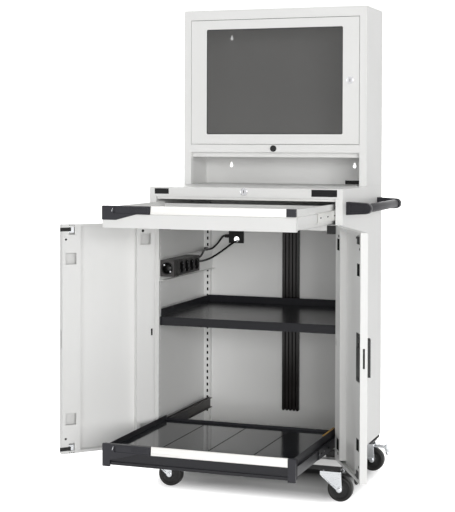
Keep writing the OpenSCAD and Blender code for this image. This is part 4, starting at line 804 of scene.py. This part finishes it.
def socketInsert(v):
    # Lip and floor, two pin wells and two earth clips of one socket, drawn upwards with its face at 0
    r, deep, c = v["radius"], v["recess"], v["clip"]
    body = turned([(r - 0.2, -deep + 0.05), (r + 2.3, -0.2), (r + 2.3, 0.35), (r + 1.4, 0.8), (r + 0.2, 0.5),
                   (r - 0.5, -0.6), (r - 0.7, -deep + 0.4)], 48, ring=True)
    body.join(turned([(r - 0.4, -deep + 0.1), (r - 0.4, -deep + 0.5)], 48))
    wells, clips = Shape(), Shape()
    for s in (-1, 1):
        well = [(v["well"], -deep + 0.3), (v["well"], -deep + 0.85)]
        wells.join(turned(well, 20, at=(s * v["apart"], 0, 0)))
        rib, y = s * (r - 1.6), s * (r - 3.2)
        clips.join(bar(-c, c, rib - 0.6, rib + 0.6, -deep + 0.4, -1.6, 0.3))
        clips.join(bar(-c, c, y - c, y + c, -2.4, -1.5, 0.3))
    spin = Matrix.Rotation(math.radians(v["turn"]), 4, "Z")
    return body.moved(spin), wells.moved(spin), clips.moved(spin)


def addSockets(v):
    # Four sockets along the strip's side and one in its end, rings on the strain reliefs and small plugs
    sets = Shape(), Shape(), Shape()
    faces = [((v["face"], y, v["z"]), (1, 0, 0)) for y in v["places"]] + [((*v["end"], v["z"]), (0, -1, 0))]
    for place, normal in faces:
        for target, part in zip(sets, socketInsert(v)):
            target.join(part.moved(facing(place, normal)))
    bodies, wells, clips = sets
    bodies.piece("socketWells", "black", "cabinet", "black")
    # The pin wells are discs of painted shade on the floor of each socket
    wells.piece("socketPinWells", "shade", "cabinet", "black")
    clips.piece("socketClips", "chrome", "cabinet", "bright", smooth=False)
    rings = Shape()
    for place in v["reliefs"]:
        rings.join(reliefRings(place, (0, 1, 0), *v["relief"]))
    rings.join(scatter(v["plugs"]))
    rings.piece("strainRings", "black", "cabinet", "black")


addSockets(socketValues)


drawerValues = {
    # name: body, Y of the front, top of the strip, top of the latch bar, end of the strip
    "keyboard": ("keyboard_drawer", -680.5, 936, 936, 271),
    "pullout": ("pullout", -674.5, 226.5, 225.5, 276),
}
gripValues = {
    "count": 14, "first": -206, "pitch": 3.4, "rib": (1.5, 13, 0.7), "below": 12.5,
    "pinX": -269, "pinBelow": 17, "pinLean": 0.35,
    "beadStart": -143, "beadRadius": 0.35, "beads": (0.2, 0.32, 0.8),   # shares of the sloped face
}


def drawerDetails(name, body, y, top, latch, end, v):
    # Ribs of the latch bar, its pin, and fine beads along the sloped face of the handle strip
    grip = Shape()
    for k in range(v["count"]):
        place = [v["first"] + k * v["pitch"], latch - v["below"]]
        grip.join(slab(outline(*v["rib"], 3) + place, -y + 0.5, -y + 1.15, 0.3, "y"))
    grip.piece(name + "Grip", "cap", name + "_catch", "cap", smooth=False)
    lean = shift((v["pinX"], y - 1, latch - v["pinBelow"])) @ Matrix.Rotation(v["pinLean"], 4, "Y")
    pin = bar(-0.9, 0.9, -0.4, 0.5, 0, 11, 0.3).moved(lean)
    pin.piece(name + "CatchPin", "zinc", body, "bright", smooth=False)
    beads = Shape()
    for share in v["beads"]:
        line = [(x, y + 2 * share - 0.05, top - 24 + 20 * share) for x in (v["beadStart"], end)]
        beads.join(sweep(line, v["beadRadius"], 8))
    beads.piece(name + "Beads", "strip", body, "alu")


for name, values in drawerValues.items():
    drawerDetails(name, *values, gripValues)

# Amber strip that marks the lift-out catch on the right wall of the pull-out
amberValues = {"size": (5.2, 125, 1.2, 4), "place": [285.6, -273.5], "levels": (223.2, 225.4, 0.5)}
amber = slab(outline(*amberValues["size"]) + amberValues["place"], *amberValues["levels"])
amber.piece("amberStrip", "yellow", "pullout", "cap", smooth=False)


matValues = {
    "half": 287.2, "front": -654.2, "back": -205.3, "low": 204.6, "high": 207.0, "seam": 1.3, "count": 4,
    "corner": 2, "edge": 0.5,
}


def pulloutMat(v):
    # Equal sheets side by side, with a dark line between neighbours
    wide = (2 * v["half"] - (v["count"] - 1) * v["seam"]) / v["count"]
    deep, y = v["back"] - v["front"], (v["front"] + v["back"]) / 2
    sheets = Shape()
    for k in range(v["count"]):
        x = -v["half"] + wide / 2 + k * (wide + v["seam"])
        sheets.join(slab(outline(wide, deep, v["corner"], 3) + [x, y], v["low"], v["high"], v["edge"]))
    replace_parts(sheets.piece("matSheets", "mat", "pullout", "mat", smooth=False), "pullout_mat")


pulloutMat(matValues)


runnerValues = {
    # name: back end's Y, height, body
    "places": {"keyboard": (-449.5, 898, "keyboard_runner"), "pullout": (-430, 185.5, "pullout_runner")},
    "web": 299.6, "slot": (14, 4, 1.9), "first": 30, "pitch": 78, "count": 6,
    "rivet": screwHead(2.6, 0.4), "rivetsAt": (8, 60, 442),
}


def runnerDetails(name, y0, z, body, v):
    # Punched slots, drawn as flat plates of painted shade, and rivets along the outer web of a middle member
    slots, rivets = Shape(), Shape()
    slot = slab(outline(*v["slot"], 5), -0.1, 0.12, 0.05)
    for side in (-1, 1):
        web = side * v["web"]
        for k in range(v["count"]):
            place = (web, y0 + v["first"] + v["pitch"] * k, z)
            slots.join(slot.moved(facing(place, (side, 0, 0), math.pi / 2)))
        rivets.join(scatter([(v["rivet"], (side, 0, 0), [(web, y0 + y, z) for y in v["rivetsAt"]])]))
    slots.piece(name + "RunnerSlots", "shade", body, "zinc", smooth=False)
    rivets.piece(name + "RunnerRivets", "zinc", body, "zinc")


for name, values in runnerValues["places"].items():
    runnerDetails(name, *values, runnerValues)


sealAndGapShadeValues = {"outer": (595, 422), "inner": (582, 409), "front": 63.4, "back": 64.4, "corner": 1.0, "z": 1332}
gasketValues = {
    "wide": 484, "high": 360, "corner": 5, "z": 1333,
    # growth past the window's edge, depth
    "rings": ((2.0, 44.6), (-1.4, 44.6), (-2.0, 43.9), (-1.6, 43.5), (0.2, 43.6), (2.0, 44.0)),
}


def roundFrame(rings, middle, steps):
    # A closed profile carried round a rectangle: each ring has a width, height, corner and depth
    made = []
    for wide, high, corner, depth in rings:
        loop = outline(wide, high, corner, steps)
        made.append(np.column_stack([loop[:, 0], np.full(len(loop), depth), loop[:, 1] + middle]))
    return Shape().grid(np.stack(made), ring=True)


def addSeals(s, g):
    # Black foam on the door stop of the monitor housing, which is also painted shade for the dark gap round
    # the door, and a soft profile round the glass
    order = (("outer", "back"), ("outer", "front"), ("inner", "front"), ("inner", "back"))
    foam = roundFrame([(*s[size], s["corner"], s[depth]) for size, depth in order], s["z"], 3)
    foam.piece("foamSealAndGapShade", "gasket", "cabinet", "black", smooth=False)
    rings = [(g["wide"] + 2 * grow, g["high"] + 2 * grow, g["corner"] + grow, depth)
             for grow, depth in g["rings"]]
    roundFrame(rings, g["z"], 6).piece("windowGasket", "gasket", "monitor_door", "black")


addSeals(sealAndGapShadeValues, gasketValues)


grommetValues = {
    "profile": [(12.2, -1.2), (16.4, -0.2), (16.8, 1.0), (15.6, 2.6), (12.6, 3.4), (10.6, 2.4), (10.2, -0.6),
                (10.6, -2.6), (11.6, -3.0)],
    "place": (-208, 262.6, 776),
}
grommet = turned(grommetValues["profile"], 48, (0, 1, 0), grommetValues["place"], ring=True)
grommet.piece("outletGrommet", "gasket", "cabinet", "black")


lockValues = {
    # name: face, body of the cylinder, body around it
    "places": {"fascia": ((0, -264.8, 967.5), "fascia_cam", "cabinet"),
               "monitor": ((267.5, 40.2, 1333), "monitor_cam", "monitor_door")},
    "ring": [(9.6, -2.2), (12.0, -2.2), (12.2, -0.9), (11.8, 0.2), (10.6, 0.6), (9.6, 0.2)],
    "slot": (1.9, 9.6, 0.5),
}


def lockRing(name, place, body, still, v):
    # Escutcheon of one cylinder, and its key slot drawn as a flat plate of painted shade
    lie = facing(place, (0, -1, 0))
    turned(v["ring"], ring=True).moved(lie).piece(name + "LockRing", "chrome", still, "bright")
    slot = slab(outline(*v["slot"], 3), -0.2, 0.25, 0.1).moved(lie)
    slot.piece(name + "KeySlot", "shade", body, "black", smooth=False)


for name, values in lockValues["places"].items():
    lockRing(name, *values, lockValues)
print("details made")


# Materials of the CAD nodes that stay

nodeMaterials = {
    "light": "side_panels back_panel floor_pan worktop front_rails rear_uprights housing_shell housing_back "
             "crossbar power_bracket keyboard_tray left_door_skin left_door_frame right_door_skin "
             "right_door_frame monitor_door_frame",
    "dark": "pullout_tray pullout_middle",
    "shelf": "shelf",
    "zinc": "hinge_pins shelf_clips rod_top rod_bottom",
    "runner": "keyboard_middle",
    "runnerSet": "fixed_runners",
    "chrome": "fascia_lock monitor_lock",
    "strip": "keyboard_strip pullout_strip",
    "cap": "keyboard_caps keyboard_latch pullout_caps pullout_latch",
    "handle": "handle_brackets handle_tube",
    "black": "cable_fittings hinge_blocks left_door_hooks lock_case door_handle",
    "duct": "cable_duct",
    "stripBody": "power_strip",
    "mounts": "castor_mounts",
    "label": "label_plates",
    "glass": "monitor_glass",
}
edgeValues = {
    # width in mm for each material's nodes; one node keeps its edges sharp
    "width": {"light": 0.4, "dark": 0.5, "shelf": 0.5, "strip": 0.5, "cap": 0.9, "handle": 0.9, "black": 0.5,
              "zinc": 0.3, "label": 0.2, "duct": 0.8, "stripBody": 0.7, "mounts": 0.4, "runner": 0.3,
              "runnerSet": 0.3},
    "sharp": "housing_back", "weld": 0.005, "angle": 35,
}


def dressNode(name, material, v):
    # One material, and a bevel on every edge sharper than the given angle
    node = cadNodes[name]
    node.data.materials.clear()
    node.data.materials.append(materials[material])
    if material in v["width"] and name != v["sharp"]:
        weld = node.modifiers.new("weld", "WELD")
        weld.merge_threshold = v["weld"] * mm
        edge = node.modifiers.new("edge", "BEVEL")
        edge.width = v["width"][material] * mm
        edge.segments = 2
        edge.limit_method = "ANGLE"
        edge.angle_limit = math.radians(v["angle"])
        edge.use_clamp_overlap = False
        edge.harden_normals = True


for material, names in nodeMaterials.items():
    for name in names.split():
        dressNode(name, material, edgeValues)
print("CAD nodes dressed")


# Floor, backdrop and light

stageValues = {
    "floor": 0.86, "world": 0.08,
    "footprint": (0.25, 0.12),   # half sizes of the shaded ground under the cabinet, in metres
    "reach": (0.11, 0.17),       # from there to full white, along each side
    "shadeFrom": 0.10, "shadeOver": 0.19, "shadeHalf": 0.32, "shadeSide": 0.06, "shadeRear": 0.28,
    "deep": 0.03,
    "half": 14.0, "bendY": 5, "bend": 3, "wall": 9.0,   # the floor rises into a wall behind
}
lampValues = {
    # name: place, size, watts, and a target off the usual one
    "front": ((1.4, -9.5, 1.7), (5.0, 2.4), 162.0),
    "right": ((5.2, -8.2, 1.6), (3.6, 3.0), 360.0),
    "left": ((-6.0, -4.0, 1.5), (3.0, 3.0), 85.0, (0.3, 0, 0.8)),
    "corner": ((7.2, -5.4, 1.7), (3.6, 3.0), 50.0),
    "fill": ((7.8, -1.2, 2.0), (3.6, 3.6), 80.0),
    "top": ((0, -0.35, 6.5), (5.0, 5.0), 120.0),
    "rear": ((-2.4, 7.0, 3.4), (4.0, 3.0), 160.0),
}


def addStage(v):
    # A floor that bends up by a quarter circle; its glow to the camera fades to shade under the cabinet
    half, y0, bend = v["half"], v["bendY"], v["bend"]
    line = [(y, 0.0) for y in np.linspace(-half, y0, 12)]
    line += [(y0 + bend * math.sin(t), bend - bend * math.cos(t)) for t in np.linspace(0.1, math.pi / 2, 14)]
    line.append((y0 + bend, v["wall"]))
    points = np.array([[(x, y, z) for x in np.linspace(-half, half, 3)] for y, z in line])
    mesh = bpy.data.meshes.new("floor")
    faces = gridFaces(len(line), 3, closeColumns=False)[:, ::-1]
    mesh.from_pydata(points.reshape(-1, 3).tolist(), [], faces.tolist())
    floor = bpy.data.objects.new("floor", mesh)
    bpy.context.scene.collection.objects.link(floor)
    s = Sheet("white floor", Roughness=0.8, Specular_IOR_Level=0.0, Emission_Strength=1.0)
    rays = s.node("ShaderNodeLightPath")
    x, y, z = s.axes()[:3]
    # Glow rises with the square of the distance from the shaded ground, measured in reaches
    outX = ((x.size() - v["footprint"][0]) / v["reach"][0]).most(0.0)
    outY = ((y.size() - v["footprint"][1]) / v["reach"][1]).most(0.0)
    glow = (outX * outX + outY * outY).least(1.0)
    seen = rays[0].most(rays[3]).most(rays[6]) * glow
    # The ground is darker towards the middle and rear of the footprint, where little light gets in
    under = (((y + v["shadeFrom"]) / v["shadeOver"]).most(0.0).least(1.0)
             * ((v["shadeHalf"] - x.size()) / v["shadeSide"]).most(0.0).least(1.0)
             * ((v["shadeRear"] - y) / v["shadeSide"]).most(0.0).least(1.0))
    lit = s.mix(s.noise(1.5, 2.0), (v["floor"],) * 3, (v["floor"] - 0.01,) * 3)
    s.set(Base_Color=s.mix(under, lit, (v["deep"],) * 3),
          Emission_Color=s.mix(seen, (0.0, 0.0, 0.0), (1.0, 1.0, 1.0)))
    mesh.materials.append(s.material)


def addLamp(name, place, size, watts, target=(0, 0, 0.8)):
    # A rectangular lamp turned towards its target
    data = bpy.data.lights.new(name, "AREA")
    data.shape = "RECTANGLE"
    data.size, data.size_y = size
    data.energy = watts
    lamp = bpy.data.objects.new(name, data)
    bpy.context.scene.collection.objects.link(lamp)
    lamp.location = place
    lamp.rotation_euler = (Vector(target) - Vector(place)).to_track_quat("-Z", "Y").to_euler()


def addWorld(v):
    # White to camera, glossy and transmitted rays, dim to all others
    world = bpy.data.worlds.new("studio")
    bpy.context.scene.world = world
    world.use_nodes = True
    tree = world.node_tree
    tree.nodes.clear()
    kinds = ("LightPath", "MixShader", "OutputWorld")
    rays, mix, out = (tree.nodes.new("ShaderNode" + kind) for kind in kinds)
    seen = rays.outputs["Is Camera Ray"]
    for name in ("Is Glossy Ray", "Is Transmission Ray"):
        both = tree.nodes.new("ShaderNodeMath")
        both.operation = "MAXIMUM"
        tree.links.new(seen, both.inputs[0])
        tree.links.new(rays.outputs[name], both.inputs[1])
        seen = both.outputs[0]
    tree.links.new(seen, mix.inputs[0])
    for index, strength in ((1, v["world"]), (2, 1.0)):
        light = tree.nodes.new("ShaderNodeBackground")
        light.inputs[0].default_value, light.inputs[1].default_value = (1, 1, 1, 1), strength
        tree.links.new(light.outputs[0], mix.inputs[index])
    tree.links.new(mix.outputs[0], out.inputs[0])


addStage(stageValues)
for name, values in lampValues.items():
    addLamp(name, *values)
addWorld(stageValues)
print("stage and light set")
